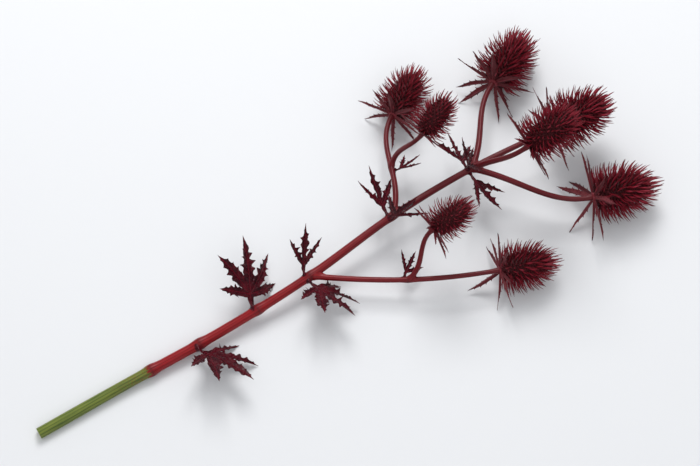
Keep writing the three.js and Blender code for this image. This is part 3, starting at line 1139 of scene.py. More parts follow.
@dataclass
class Ruff(Piece):
    """A ruff: toothed bracts round a small disc. Those under the head fold back towards the stem."""

    size: HeadSize
    place: Placement
    number: int

    disc_rims: tuple[float, ...] = (0.7, 0.9, 1.0, 0.97, 0.8)  # of the disc's radius, from its seat up
    disc_levels: tuple[float, ...] = (0, 0.15, 0.5, 0.85, 1)  # of its height
    disc_sides: int = 24
    bract_root: float = 0.72  # of the disc's radius
    bract_width: float = 0.16  # of a bract's length, as are the next three
    length_vary: float = 0.08
    arch_vary: float = 0.07
    sway_vary: float = 0.09
    turn_vary: float = 0.25  # of the step from bract to bract
    twist_vary: float = 0.7  # radians
    rise: float = -4.0  # degrees over the disc's plane
    rise_on_top: float = 14.0  # how much more where the bract looks up, and less where it looks down
    rise_vary: float = 8.0

    def draw(self, k: int, series: BractDraw) -> float:
        """The ruff's own number of a series, from -1 to 1."""
        return float(scatter(k, self.number + series))

    def weave(self) -> None:
        """Adds the disc, then the bracts round it."""
        self._disc()
        for k in range(self.size.bracts):
            self._bract(k).weave(self.skin)

    def _disc(self) -> None:
        """Adds the disc: a low rounded ring profile turned about the head's axis."""
        rims = self.size.disc_radius * np.array(self.disc_rims)[:, None, None]
        levels = GAP + self.size.disc_height * np.array(self.disc_levels)[:, None, None]
        rings = self.place.points(rims * outward(turns(self.disc_sides)) + levels * UP)
        ends = self.place.points(levels[[0, -1], 0] * UP)
        self.skin.add(rings[None], ends[:1], ends[1:], across=0.0, along=0.0, tint=0.0)

    def _bract(self, k: int) -> Blade:
        """The bract at one place of the ring.

        Args:
            k: the place.

        Returns:
            The bract.
        """
        size = self.size
        turn = 2 * math.pi * (k + self.turn_vary * self.draw(k, BractDraw.TURN)) / size.bracts
        out = outward(np.array(turn))
        up = self.place.directions(out)[2]
        rise = math.radians(self.rise + self.rise_on_top * up + self.rise_vary * self.draw(k, BractDraw.RISE))
        return Blade(
            place=self.place,
            root=out * self.bract_root * size.disc_radius + UP * (GAP + size.disc_height / 2),
            out=out * math.cos(rise) + UP * math.sin(rise),
            face=UP,
            length=size.bract * (1 + self.length_vary * self.draw(k, BractDraw.LENGTH)),
            width=size.bract * self.bract_width,
            arch=size.bract * self.arch_vary * self.draw(k, BractDraw.ARCH),
            twist=self.twist_vary * self.draw(k, BractDraw.TWIST),
            tint=self.draw(k, BractDraw.TINT),
            sway=size.bract * self.sway_vary * self.draw(k, BractDraw.SWAY),
        )


# ------------------------------------------------------------------ leaves


@dataclass
class LeafBlade(Piece):
    """A leaf: a fleshy base that clasps the stalk, and a lobed, toothed, wavy blade that grows from it."""

    sprout: Sprout
    stalk: Stalk
    number: int

    wall: float = 1.1
    seat: float = 1.22  # the stalk's radius at a node, of its plain radius
    foot: float = -6.0  # the base's heights over the node
    top: float = -1.5
    lobe_shrink: float = 0.74  # from each lobe to the next one out
    lobe_root: float = 0.17  # the palm's distance, of the leaf's length
    foot_share: float = 0.058  # half the foot's width, of the leaf's length
    thickness: float = 0.6
    fold: float = 0.34
    vein_start: float = 0.8  # how far along its lobe's axis a vein sets out
    edge_steps: int = 3  # from each of an edge's points to the next
    edge_fade: float = 0.22  # the stretch over which an edge's veins bend to its lobe's axis
    foot_corners: tuple[tuple[float, float], ...] = ((-0.6, 0.3), (-0.54, 0.65), (-0.44, 0.9), (-0.3, 1.0))

    skyward: float = 1.2  # how much the blade's face turns up from its own tilt
    clasp_scale: float = 1.015  # the base's inside, of the stalk's radius
    clasp_gap: float = 0.12
    clasp_softness: float = 0.1
    base_across: int = 29
    base_along: int = 24
    base_thick: float = 0.22
    base_reach: float = 0.4  # of the palm's distance
    base_ends: tuple[float, float] = (0.45, 0.5)  # how far the base's margins come in, below and above
    base_rise: float = 1.1
    base_leave: tuple[float, float] = (1.6, 1.2)
    base_arrive: tuple[float, float] = (1.5, 3.0)
    base_paint: tuple[float, float] = (3.0, 0.3)  # the finish's ahead and edge all over the base
    keel: float = 0.45
    keel_reach: float = 0.3

    rings: tuple[float, ...] = (0.1, 0.22, 0.34, 0.46, 0.57, 0.67, 0.77, 0.86, 0.94, 1.0)
    arch_vary: float = 0.07
    wave: float = 1.5
    wave_turns: tuple[float, float] = (11.0, 29.0)
    wave_grows: tuple[float, float] = (4.0, 20.0)
    ruffle: float = 0.9
    ruffle_length: float = 0.95
    ruffle_turn: float = 9.0
    free_from: tuple[float, float] = (0.4, 4.5)  # beside a rib, from where the blade may wave
    lobes_from: tuple[float, float] = (2.3, 1.7)  # radians either way, from where a point is on the lobes
    foot_fold: float = 0.4  # of the lobes' fold
    rib: float = 0.5
    rib_reach: float = 0.9
    thinner: float = 0.7  # how much less rib and thickness there is at the edge
    heart: float = 0.7

    @cached_property
    def place(self) -> Placement:
        """Where the leaf grows on its stalk."""
        spot = np.array(float(self.sprout.at))
        return Placement.on(self.stalk.point(spot), self.stalk.direction(spot), self.sprout.turn)

    @property
    def plan(self) -> LobePlan:
        """How the leaf is cut."""
        return self.sprout.kind.value

    @property
    def foot_width(self) -> float:
        """Half the width of the blade's foot."""
        return self.foot_share * self.sprout.length

    @property
    def way(self) -> Array:
        """The way that the leaf grows, in its own frame."""
        tilt = math.radians(self.sprout.rise)
        return np.array([math.cos(tilt), 0, math.sin(tilt)])

    def weave(self) -> None:
        """Adds the base, then the blade that grows from it."""
        self._base()
        self._lamina()

    def _base(self) -> None:
        """Adds the base: a fleshy wedge that clasps the stalk and thins out into the blade.

        Its under side and its upper side are grids of a share s from the stalk to the blade's foot, and of
        x from one margin to the other. Each side's lines are cubics from an arc round the stalk, A, to a
        line across the foot, B, with the ways a and b at their ends: (2s^3 - 3s^2 + 1)A + (s^3 - 2s^2 + s)a
        + (3s^2 - 2s^3)B + (s^3 - s^2)b. The under side starts along the stalk, the upper side out of it.
        """
        palm, _, normal, _ = self._lobes()
        out, face = self.place.directions(self.way), normal[len(normal) // 2]
        aside = unit(np.cross(out, face))
        x = np.linspace(-1, 1, self.base_across)
        spoke = outward(-x * math.radians(self.sprout.clasp / 2))
        tall = self.top - self.foot
        levels = (self.foot + self.base_ends[0] * tall * x**4, self.top - self.base_ends[1] * tall * x**4)
        reach = self.base_reach * self.lobe_root * self.sprout.length
        wide, margin = self.foot_width * x, self.base_thick * (1 - x**4)
        dip = self.base_reach * self.fold * np.sqrt(wide**2 + 0.5)
        line = palm - out * reach + wide[:, None] * aside + dip[:, None] * face
        keel = self.keel * bell(x, self.keel_reach)
        ends = [line - (margin + keel)[:, None] * face, line + margin[:, None] * face]
        leave = [UP * tall * self.base_rise, spoke * self.base_leave[0] + UP * self.base_leave[1]]
        arrive = out * (self.base_arrive[0] * reach + self.base_arrive[1])
        share = np.linspace(0, 1, self.base_along)[:, None, None]
        sides = []
        for level, end, start in zip(levels, ends, leave):
            arc = self.place.points(spoke * self._stalk_radius(level)[:, None] + UP * level[:, None])
            start = self.place.directions(start)
            side = (2 * share**3 - 3 * share**2 + 1) * arc + (share**3 - 2 * share**2 + share) * start
            side = side + (3 * share**2 - 2 * share**3) * end + (share**3 - share**2) * arrive
            sides.append(self._outside_stalk(side))
        # The ring runs in along the upper side, down the stalk and out along the under side.
        rings = np.concatenate([sides[1][::-1], sides[0]]).transpose(1, 0, 2)
        beside = np.broadcast_to(np.abs(wide)[:, None], rings.shape[:2])
        start, end = rings[:1].mean(axis=1), rings[-1:].mean(axis=1)
        ahead, edge = self.base_paint
        self.skin.add(rings[None], start, end, beside=beside, ahead=ahead, edge=edge)

    def _stalk_radius(self, height: Array) -> Array:
        """How far the base's inside is from the stalk's middle line, at a height from the node."""
        along = height * self.stalk.end / self.stalk.length
        return self.stalk.full_radius(self.sprout.at + along) * self.clasp_scale + self.clasp_gap

    def _outside_stalk(self, points: Array) -> Array:
        """Points moved out of the stalk, and up from the surface below.

        Args:
            points: points in the plan.

        Returns:
            The moved points.
        """
        local = self.place.local(points)
        round_axis = np.linalg.norm(local[..., :2], axis=-1)
        factor = kept_above(round_axis, self._stalk_radius(local[..., 2]), self.clasp_softness) / round_axis
        points = self.place.points(local * np.stack([factor, factor, np.ones_like(factor)], axis=-1))
        points[..., 2] = kept_above(points[..., 2], SHEATH_LIFT)
        return points

    def _lobes(self) -> tuple[Array, Array, Array, Array]:
        """The lobes in the plan.

        Returns:
            The palm's point, and each lobe's along direction, normal and length.
        """
        out, length = self.way, self.sprout.length
        face = np.array([-out[2], 0, out[0]]) + self.skyward * (self.place.axes @ UP)
        face = square_to(face, out)
        inner = float(self.stalk.radius(np.array(float(self.sprout.at)))) * self.seat + GAP
        root = np.array([inner + self.wall / 2, 0, (self.foot + self.top) / 2])
        palm = self.place.points(root + out * self.lobe_root * length)
        axes, aside = self.plan.axes, np.cross(out, face)
        steps = np.abs(np.arange(len(axes)) - (len(axes) - 1) / 2)
        lengths = length * self.lobe_shrink**steps
        lengths[len(axes) // 2] -= self.lobe_root * length
        ways = self.place.directions(out * np.cos(axes)[:, None] - aside * np.sin(axes)[:, None])
        up = self.place.directions(face)
        turned = [clear_directions(palm, way, up, reach) for way, reach in zip(ways, lengths)]
        return palm, np.stack([one[1] for one in turned]), np.stack([one[2] for one in turned]), lengths

    def _outline(self, lengths: Array) -> tuple[Array, Array]:
        """The blade's outline in its own plane, round the palm.

        Each lobe's edges are kept as far as halfway to its neighbour, where one more point closes the bay
        between them. The foot has corners of its own.

        Args:
            lengths: the lobes' lengths.

        Returns:
            The outline's points, and for each the point that its vein sets out to from the palm: on its
            lobe's axis, or the point itself in a bay and at the foot.
        """
        axes = self.plan.axes
        gaps = np.diff(np.concatenate([[-math.pi], axes, [math.pi]])) / 2
        foot = np.array(self.foot_corners) * [self.lobe_root * self.sprout.length, self.foot_width]
        rows, aims = [foot * [1, -1]], [foot * [1, -1]]
        for k, (axis, length) in enumerate(zip(axes, lengths)):
            right, left = (self._edge(k, axis, length, side, gaps[k + (side > 0)]) for side in (-1, 1))
            if k:
                reach = (np.linalg.norm(rows[-1][-1]) + np.linalg.norm(right[0][0])) / 2
                bay = reach * outward(np.array([axis - gaps[k]]))[:, :2]
                rows.append(bay)
                aims.append(bay)
            rows += [right[0], left[0][-2::-1]]
            aims += [right[1], left[1][-2::-1]]
        rows.append(np.concatenate([foot[::-1], foot[:1] * [1, 0]]))
        aims.append(rows[-1])
        return np.concatenate(rows), np.concatenate(aims)

    def _edge(self, lobe: int, axis: float, length: float, side: int, gap: float) -> tuple[Array, Array]:
        """One edge of a lobe, from the bay to the tip.

        Args:
            lobe: the lobe's number.
            axis: its angle.
            length: its length.
            side: -1 for its right edge and 1 for its left one.
            gap: the angle from its axis to the middle of the bay beside it.

        Returns:
            The edge's points, and the points that their veins set out to.
        """
        number = 5 * self.number + 2 * lobe + side
        corner, wide, _ = self.plan.teeth.edge(-0.5 if side < 0 else 0.0, number)
        fine = np.linspace(0, len(corner) - 1, self.edge_steps * (len(corner) - 1) + 1)
        share, wide = (np.interp(fine, np.arange(len(corner)), value) for value in (corner, wide))
        y = wide * envelope(np.minimum(share, 1.0)) * length * self.plan.width / 2
        kept = np.arctan2(y, share * length) < gap
        share, y = share[kept][:, None], side * y[kept][:, None]
        angle = np.array(axis)
        middle = share * length * outward(angle)[:2]
        points = middle + y * sideways(angle)[:2]
        own = smooth_step(share[0], share[0] + self.edge_fade, share)
        return points, own * middle + (1 - own) * points

    def _lamina(self) -> None:
        """Adds the blade: rings of its outline drawn in to the palm, below from the palm to the edge and
        back above, half a thickness to each side of its middle.

        At a share t of its vein, a point of the outline P with the aim A is at t^2 P + (f - t^2) A, where
        f = t(2v - (2v - 1)t) with the vein's start v. A point's way from the palm turns evenly from one
        lobe's way to the next. It is raised by the arch x r^2 / length, by the fold x its distance from
        its lobe's axis, and by a wave and a ruffle beside that axis.
        """
        palm, along, normal, lengths = self._lobes()
        outline, aims = self._outline(lengths)
        axes, centre, number = self.plan.axes, normal[len(normal) // 2], self.number
        share = np.array(self.rings)[:, None]
        drawn = share * (2 * self.vein_start - (2 * self.vein_start - 1) * share)
        flat = (share**2)[..., None] * outline + (drawn - share**2)[..., None] * aims
        angles, radius = np.arctan2(flat[..., 1], flat[..., 0]), np.linalg.norm(flat, axis=-1)
        # The ways and normals at each lobe's axis, with the foot's at both ends of the turn.
        back = -self.place.directions(self.way)
        marks = np.concatenate([[-math.pi], axes, [math.pi]])
        ways, ups = np.stack([back, *along, back]), np.stack([centre, *normal, centre])
        slot = np.clip(np.searchsorted(marks, angles, side="right") - 1, 0, len(marks) - 2)
        part = ((angles - marks[slot]) / (marks[slot + 1] - marks[slot]))[..., None]
        way = slerp(ways[slot], ways[slot + 1], part)
        up = square_to(unit(ups[slot] * (1 - part) + ups[slot + 1] * part), way)

        near = np.minimum(np.abs(angles[..., None] - marks).min(axis=-1), math.pi / 2)
        beside, ahead = radius * np.sin(near), radius * np.cos(near)
        at_lobes = smooth_step(*self.lobes_from, np.abs(angles))
        bends = self.plan.arch + self.arch_vary * scatter(np.arange(len(axes)), number + 7)
        bend = np.interp(angles, axes, bends) * at_lobes
        fold = self.fold * (self.foot_fold + (1 - self.foot_fold) * at_lobes)
        slow, fast = self.wave_turns
        wave = self.wave * (np.sin(slow * angles + number) + 0.5 * np.sin(fast * angles + 2 * number))
        ruffle = self.ruffle * np.sin(self.ruffle_length * ahead + self.ruffle_turn * angles + 1.7 * number)
        raised = bend * radius**2 / np.interp(angles, axes, lengths) + fold * np.sqrt(beside**2 + 0.5)
        free = at_lobes * smooth_step(*self.free_from, beside)
        raised += free * (wave * smooth_step(*self.wave_grows, radius) + ruffle * share)
        rib = self.rib * bell(beside, self.rib_reach) * (1 - self.thinner * share)
        thick = self.thickness / 2 * (1 - self.thinner * share**8)
        middle = palm + radius[..., None] * way + raised[..., None] * up
        middle[..., 2] = kept_above(middle[..., 2], BLADE_LIFT)
        below = middle - (thick + rib)[..., None] * up
        above = (middle + thick[..., None] * up)[::-1]
        paint = {"beside": beside, "ahead": ahead, "edge": np.broadcast_to(share, radius.shape)}
        paint = {key: np.concatenate([value, value[::-1]]) for key, value in paint.items()}
        heart, thin = palm + centre * self.fold * self.heart, centre * self.thickness / 2
        rings = np.concatenate([below, above])[None]
        self.skin.add(rings, (heart - thin)[None], (heart + thin)[None], **paint)


# ------------------------------------------------------------------ finishes


class Wire:
    """A socket's number in a material, which takes part in sums. Each sum adds its Math node."""

    def __init__(self, nodes: "Nodes", socket: bpy.types.NodeSocket) -> None:
        """Wraps a socket."""
        self.nodes, self.socket = nodes, socket

    def _math(self, operation: str, *values: Any) -> "Wire":
        """One Math node."""
        return self.nodes.add("ShaderNodeMath", {"operation": operation}, dict(enumerate(values)))

    def __add__(self, other: Any) -> "Wire":
        """The sum."""
        return self._math("ADD", self, other)

    __radd__ = __add__

    def __sub__(self, other: Any) -> "Wire":
        """The difference."""
        return self._math("SUBTRACT", self, other)

    def __rsub__(self, other: Any) -> "Wire":
        """The difference from another value."""
        return self._math("SUBTRACT", other, self)

    def __mul__(self, other: Any) -> "Wire":
        """The product."""
        return self._math("MULTIPLY", self, other)

    __rmul__ = __mul__

    def fraction(self) -> "Wire":
        """What is left over whole numbers."""
        return self._math("FRACT", self)

    def size(self) -> "Wire":
        """The value without its sign."""
        return self._math("ABSOLUTE", self)

    def stripes(self, width: float) -> "Wire":
        """1 on soft lines half way between whole numbers, and 0 further than the width from them."""
        return (self.fraction() - 0.5).size().ramp(width, 0.0)

    def ramp(self, low: float, high: float) -> "Wire":
        """0 at low and 1 at high, with a smooth step between them."""
        values = {"Value": self, "From Min": low, "From Max": high, "To Min": 0.0, "To Max": 1.0}
        return self.nodes.add("ShaderNodeMapRange", {"interpolation_type": "SMOOTHSTEP"}, values)


class Cells(Enum):
    """What a pattern of cells measures distances from."""

    MIDDLES = "F1"
    EDGES = "DISTANCE_TO_EDGE"


class Nodes:
    """The nodes of one material."""

    def __init__(self, name: str) -> None:
        """Makes a material that has only its output.

        Args:
            name: its name.
        """
        self.material = bpy.data.materials.new(name)
        self.material.use_nodes = True
        self.tree = self.material.node_tree
        self.tree.nodes.clear()
        self.output = self.tree.nodes.new("ShaderNodeOutputMaterial")

    def add(
        self, kind: str, settings: dict[str, Any], values: dict[Any, Any], out: Union[int, str] = 0
    ) -> Wire:
        """Adds a node.

        Args:
            kind: its type.
            settings: its properties, which are set first.
            values: its sockets' values or wires, by name or number.
            out: the output that is wanted.

        Returns:
            That output.
        """
        node = self.tree.nodes.new(kind)
        for key, value in settings.items():
            setattr(node, key, value)
        for key, value in values.items():
            if isinstance(value, Wire):
                self.tree.links.new(value.socket, node.inputs[key])
            else:
                node.inputs[key].default_value = value
        return Wire(self, node.outputs[out])

    def mark(self, name: str) -> Wire:
        """The piece's own value of that name, from its mesh."""
        return self.add("ShaderNodeAttribute", {"attribute_name": name}, {}, "Fac")

    def place(self) -> Wire:
        """The point's place in metres."""
        return self.add("ShaderNodeTexCoord", {}, {}, "Object")

    def stretched(self, where: Wire, scale: Sequence[float]) -> Wire:
        """A place scaled by a number for each direction."""
        return self.add("ShaderNodeMapping", {}, {"Vector": where, "Scale": scale})

    def noise(self, scale: float, detail: float = 3.0, where: Optional[Wire] = None) -> Wire:
        """Cloudy noise from 0 to 1, with a scale in lumps to the metre."""
        values = {"Vector": where or self.place(), "Scale": scale, "Detail": detail, "Roughness": 0.55}
        return self.add("ShaderNodeTexNoise", {}, values)

    def cells(self, scale: float, feature: Cells) -> Wire:
        """Distances in a pattern of cells, with a scale in cells to the metre."""
        values = {"Vector": self.place(), "Scale": scale}
        return self.add("ShaderNodeTexVoronoi", {"feature": feature.value}, values)

    def rough(self, scale: float, least: float, spread: float = 0.25) -> Wire:
        """Cloudy roughness over the least one, with a scale in lumps to the metre."""
        return self.noise(scale) * spread + least

    def mix(self, part: Union[float, Wire], first: Any, second: Any) -> Wire:
        """A colour between two colours, which are the node's inputs 6 and 7. Its output 2 is the colour."""
        return self.add("ShaderNodeMix", {"data_type": "RGBA"}, {0: part, 6: first, 7: second}, 2)

    def bump(self, height: Wire, distance: float, strength: float) -> Wire:
        """A normal for a surface that is raised by up to a distance in metres."""
        return self.add("ShaderNodeBump", {}, {"Height": height, "Distance": distance, "Strength": strength})

    def surface(self, **values: Any) -> bpy.types.Material:
        """Ends the material with a Principled shader.

        Args:
            **values: its sockets, with _ for the spaces in their names.

        Returns:
            The material.
        """
        named = {key.replace("_", " "): value for key, value in values.items()}
        shader = self.add("ShaderNodeBsdfPrincipled", {}, named)
        self.tree.links.new(shader.socket, self.output.inputs["Surface"])
        return self.material


def rgb(red: int, green: int, blue: int) -> Colour:
    """A screen colour, 0 to 255, as the linear colour that a shader takes."""
    screen = np.array([red, green, blue]) / 255
    return (*np.where(screen <= 0.04045, screen / 12.92, ((screen + 0.055) / 1.055) ** 2.4).tolist(), 1.0)


@dataclass(frozen=True)
class SpineFinish:
    """Dyed spines: near black with painted shade deep in a cone, wine red along them, painted highlights on
    the keels, dusky at the tips.
    """

    # deep is the painted shade in the depth of a cone.
    deep: Colour = rgb(60, 3, 10)
    body: Colour = rgb(118, 8, 27)
    # dusty is a pale dye tone, and also the colour of the painted highlights on the keels.
    dusty: Colour = rgb(166, 52, 70)
    tip: Colour = rgb(68, 12, 18)
    clouds: float = 900.0  # lumps to the metre, as are the next four
    patches: float = 500.0
    flecks: float = 2200.0
    grain: float = 2600.0
    worn: float = 1500.0
    relief: tuple[float, float] = (0.0002, 0.6)  # in metres, and its strength
    rough: float = 0.42
    gloss: float = 0.25

    def make(self) -> bpy.types.Material:
        """Makes the material.

        Returns:
            The material.
        """
        nodes = Nodes("dyed_spines")
        along, tint, depth = nodes.mark("along"), nodes.mark("tint"), nodes.mark("depth")
        # Painted shade: near black deep in the cone, at the core, the florets' feet and the spines' roots;
        # depth says how far a point is out of it.
        colour = nodes.mix((along * depth).ramp(0.05, 0.5), self.deep, self.body)
        dust = (tint * 0.5 + 0.45 + nodes.noise(self.clouds) * 0.3).ramp(0.45, 1.2) * along.ramp(0.25, 0.7)
        colour = nodes.mix(dust * 0.75, colour, self.dusty)
        # Painted highlight: paler streaks in patches along the spines' keels.
        keel = nodes.mark("keel").ramp(0.55, 1.0) * along.ramp(0.1, 0.3)
        colour = nodes.mix(keel * nodes.noise(self.patches).ramp(0.35, 0.7) * 0.55, colour, self.dusty)
        colour = nodes.mix(along.ramp(0.6, 0.98) * 0.75, colour, self.tip)
        colour = nodes.mix(nodes.noise(self.flecks).ramp(0.52, 0.72) * 0.3, colour, self.dusty)
        normal = nodes.bump(nodes.noise(self.grain, 2.0), *self.relief)
        rough = nodes.rough(self.worn, self.rough)
        return nodes.surface(Base_Color=colour, Roughness=rough, Normal=normal, Specular_IOR_Level=self.gloss)


@dataclass(frozen=True)
class BractFinish:
    """Dyed bracts: wine red with a paler midrib and a thin dusty bloom."""

    body: Colour = rgb(86, 10, 22)
    dusty: Colour = rgb(126, 52, 58)
    rib: Colour = rgb(134, 44, 54)
    tip: Colour = rgb(66, 20, 24)
    clouds: float = 420.0  # lumps to the metre, as are the next two
    grain: float = 1800.0
    worn: float = 700.0
    veins: float = 26.0  # along a bract
    relief: tuple[float, float] = (0.0003, 0.8)  # in metres, and its strength
    rough: float = 0.38
    gloss: float = 0.35

    def make(self) -> bpy.types.Material:
        """Makes the material.

        Returns:
            The material.
        """
        nodes = Nodes("dyed_bracts")
        across, along, tint = nodes.mark("across").size(), nodes.mark("along"), nodes.mark("tint")
        bloom = (nodes.noise(self.clouds, 4.0) + tint * 0.22).ramp(0.42, 0.85)
        colour = nodes.mix(bloom, self.body, self.dusty)
        vein = (along * self.veins + across * 3.0).stripes(0.16)
        rib = across.ramp(0.16, 0.04)
        colour = nodes.mix(rib * 0.8 + vein * 0.12, colour, self.rib)
        colour = nodes.mix(along.ramp(0.86, 0.99), colour, self.tip)
        normal = nodes.bump(vein * 0.35 - rib * 0.8 + nodes.noise(self.grain) * 0.5, *self.relief)
        rough = nodes.rough(self.worn, self.rough)
        return nodes.surface(Base_Color=colour, Roughness=rough, Normal=normal, Specular_IOR_Level=self.gloss)


@dataclass(frozen=True)
class LeafFinish:
    """Dyed leaves: deep wine and waxy, with raised pale ribs and a net of veins."""

    body: Colour = rgb(50, 2, 14)
    bright: Colour = rgb(82, 5, 21)
    rib: Colour = rgb(108, 18, 34)
    bloom: Colour = rgb(136, 58, 66)
    dry: Colour = rgb(60, 18, 18)
    clouds: float = 140.0  # lumps to the metre, as are the next four
    dust: float = 55.0
    crinkles: float = 260.0
    worn: float = 350.0
    net: float = 900.0
    relief: tuple[float, float] = (0.0008, 0.8)  # in metres, and its strength
    rough: float = 0.12
    gloss: float = 0.12
    wax: float = 0.06
    wax_rough: float = 0.12

    def make(self) -> bpy.types.Material:
        """Makes the material.

        Returns:
            The material.
        """
        nodes = Nodes("dyed_leaves")
        beside, ahead, edge = nodes.mark("beside"), nodes.mark("ahead"), nodes.mark("edge")
        colour = nodes.mix(nodes.noise(self.clouds, 4.0).ramp(0.38, 0.68), self.body, self.bright)
        side_vein = ((ahead - beside * 0.9) * 0.2).stripes(0.09)
        side_vein = side_vein * beside.ramp(0.3, 1.2) * edge.ramp(1.0, 0.8)
        net = nodes.cells(self.net, Cells.EDGES).ramp(0.1, 0.0)
        rib = beside.ramp(0.95, 0.25)
        colour = nodes.mix(nodes.noise(self.dust, 4.0).ramp(0.58, 0.8) * 0.4, colour, self.bloom)
        colour = nodes.mix(rib * 0.5 + side_vein * 0.35 + net * 0.06, colour, self.rib)
        colour = nodes.mix(edge.ramp(0.95, 1.0) * 0.5, colour, self.dry)
        height = side_vein * -0.7 - rib * 0.8 - net * 0.18 + nodes.noise(self.crinkles) * 1.8
        normal = nodes.bump(height, *self.relief)
        return nodes.surface(
            Base_Color=colour,
            Roughness=nodes.rough(self.worn, self.rough),
            Normal=normal,
            Specular_IOR_Level=self.gloss,
            Coat_Weight=self.wax,
            Coat_Roughness=self.wax_rough,
        )


@dataclass(frozen=True)
class StalkFinish:
    """A sprayed stalk: red over green, with streaks, painted highlights on its ribs and painted shade in
    their grooves, a ragged end of the paint, and pale pith.
    """

    red: Colour = rgb(142, 7, 15)
    wine: Colour = rgb(92, 12, 22)
    # dusty is the colour of the paler fibres and of the painted highlights on the ribs' crests.
    dusty: Colour = rgb(140, 44, 50)
    # The dark red of the nodes' rings, blots and lines, and of the painted shade in the grooves.
    dark_marks_and_groove_shade: Colour = rgb(70, 5, 12)
    green: Colour = rgb(116, 126, 50)
    dark_green: Colour = rgb(58, 80, 34)
    pith: Colour = rgb(222, 218, 186)
    wood: Colour = rgb(158, 166, 104)
    bundle: Colour = rgb(226, 226, 196)
    paint_end: float = -0.187  # metres along the stalk
    ragged: float = 0.009
    streaks: float = 60.0  # lumps to the metre, as are the next seven
    fibres: float = 620.0
    lines: float = 1900.0
    blots: float = 90.0
    mist: float = 900.0
    grain: float = 1400.0
    worn: float = 300.0
    frayed: float = 800.0
    sponge: float = 2600.0  # cells to the metre, as is the next one
    bundles: float = 900.0
    relief: tuple[float, float] = (0.0003, 0.4)  # in metres, and its strength
    rough: float = 0.24
    gloss: float = 0.25

    def make(self) -> bpy.types.Material:
        """Makes the material.

        Returns:
            The material.
        """
        nodes = Nodes("sprayed_stalk")
        ridge, joint, cut = nodes.mark("ridge"), nodes.mark("joint"), nodes.mark("cut")
        grain = {0: nodes.mark("grain_x"), 1: nodes.mark("run"), 2: nodes.mark("grain_z")}
        own = nodes.add("ShaderNodeCombineXYZ", {}, grain)
        streaks = nodes.noise(self.streaks, 4.0, nodes.stretched(own, (9.0, 0.7, 9.0)))
        fine = nodes.noise(self.fibres, 3.0, nodes.stretched(own, (1.0, 0.1, 1.0)))
        lines = nodes.noise(self.lines, 2.0, nodes.stretched(own, (1.0, 0.03, 1.0)))
        blots = nodes.noise(self.blots)
        y = nodes.add("ShaderNodeSeparateXYZ", {}, {0: nodes.place()}, "Y")
        red = nodes.mix((y + blots * 0.12 - 0.06).ramp(-0.12, 0.12), self.red, self.wine)
        # Painted highlight on the ribs' crests, with the paler fibres.
        red = nodes.mix((fine * 0.8 + ridge * 0.35).ramp(0.55, 1.1) * 0.4, red, self.dusty)
        # Painted shade in the grooves between the ribs, with dark blots.
        red = nodes.mix((1.0 - ridge.ramp(0.15, 0.55)) * 0.6 + blots.ramp(0.55, 0.8) * 0.3, red, self.dark_marks_and_groove_shade)
        red = nodes.mix(lines.ramp(0.45, 0.75) * 0.3, red, self.dark_marks_and_groove_shade)
        # The ridge term makes the green paler on the crests and darker in the grooves: painted highlight and
        # painted shade.
        pale = (streaks * 0.7 + ridge * 0.3 + lines * 0.5).ramp(0.45, 1.1)
        green = nodes.mix(pale, self.dark_green, self.green)
        painted = (y - self.paint_end + (streaks - 0.5) * self.ragged * 2.0).ramp(-0.0012, 0.0018)
        mist = (y - self.paint_end).ramp(-0.05, 0.02) * nodes.noise(self.mist, 4.0).ramp(0.5, 0.62)
        green = nodes.mix(joint.ramp(0.3, 0.95) * 0.4, green, self.dark_green)
        green = nodes.mix(mist * 0.7, green, self.red)
        red = nodes.mix(joint.ramp(0.3, 1.0) * 0.35 + joint.ramp(0.95, 0.99) * 0.3, red, self.dark_marks_and_groove_shade)
        colour = nodes.mix(painted, green, red)
        colour = nodes.mix(cut.ramp(0.4, 1.0), colour, self._cut_face(nodes, cut))
        normal = nodes.bump(fine + lines * 0.6 + nodes.noise(self.grain) * 0.5, *self.relief)
        rough = nodes.rough(self.worn, self.rough, 0.2)
        return nodes.surface(Base_Color=colour, Roughness=rough, Normal=normal, Specular_IOR_Level=self.gloss)

    def _cut_face(self, nodes: Nodes, cut: Wire) -> Wire:
        """The cut end's colour: pale spongy pith, then green wood with a ring of paler bundles.

        Args:
            nodes: the material's nodes.
            cut: a value that runs from 2 in the middle of the face to 1 at its rim.

        Returns:
            The colour.
        """
        pith = nodes.mix(nodes.cells(self.sponge, Cells.EDGES).ramp(0.14, 0.0) * 0.25, self.pith, self.wood)
        dots = nodes.cells(self.bundles, Cells.MIDDLES).ramp(0.42, 0.25)
        ring = (cut - 1.22).size().ramp(0.12, 0.05) * dots
        wood = nodes.mix(ring * 0.8, self.wood, self.bundle)
        return nodes.mix((cut + nodes.noise(self.frayed) * 0.1).ramp(1.34, 1.44), wood, pith)


@dataclass(frozen=True)
class FloorFinish:
    """A matt pale studio floor."""

    pale: Colour = rgb(223, 224, 226)
    rough: float = 0.9

    def make(self) -> bpy.types.Material:
        """Makes the material."""
        return Nodes("pale_floor").surface(Base_Color=self.pale, Roughness=self.rough)


# ------------------------------------------------------------------ the studio


@dataclass(frozen=True)
class Lamp:
    """A square soft lamp: its place and its side in metres, and its power in watts."""

    name: str
    at: Point
    size: float
    power: float


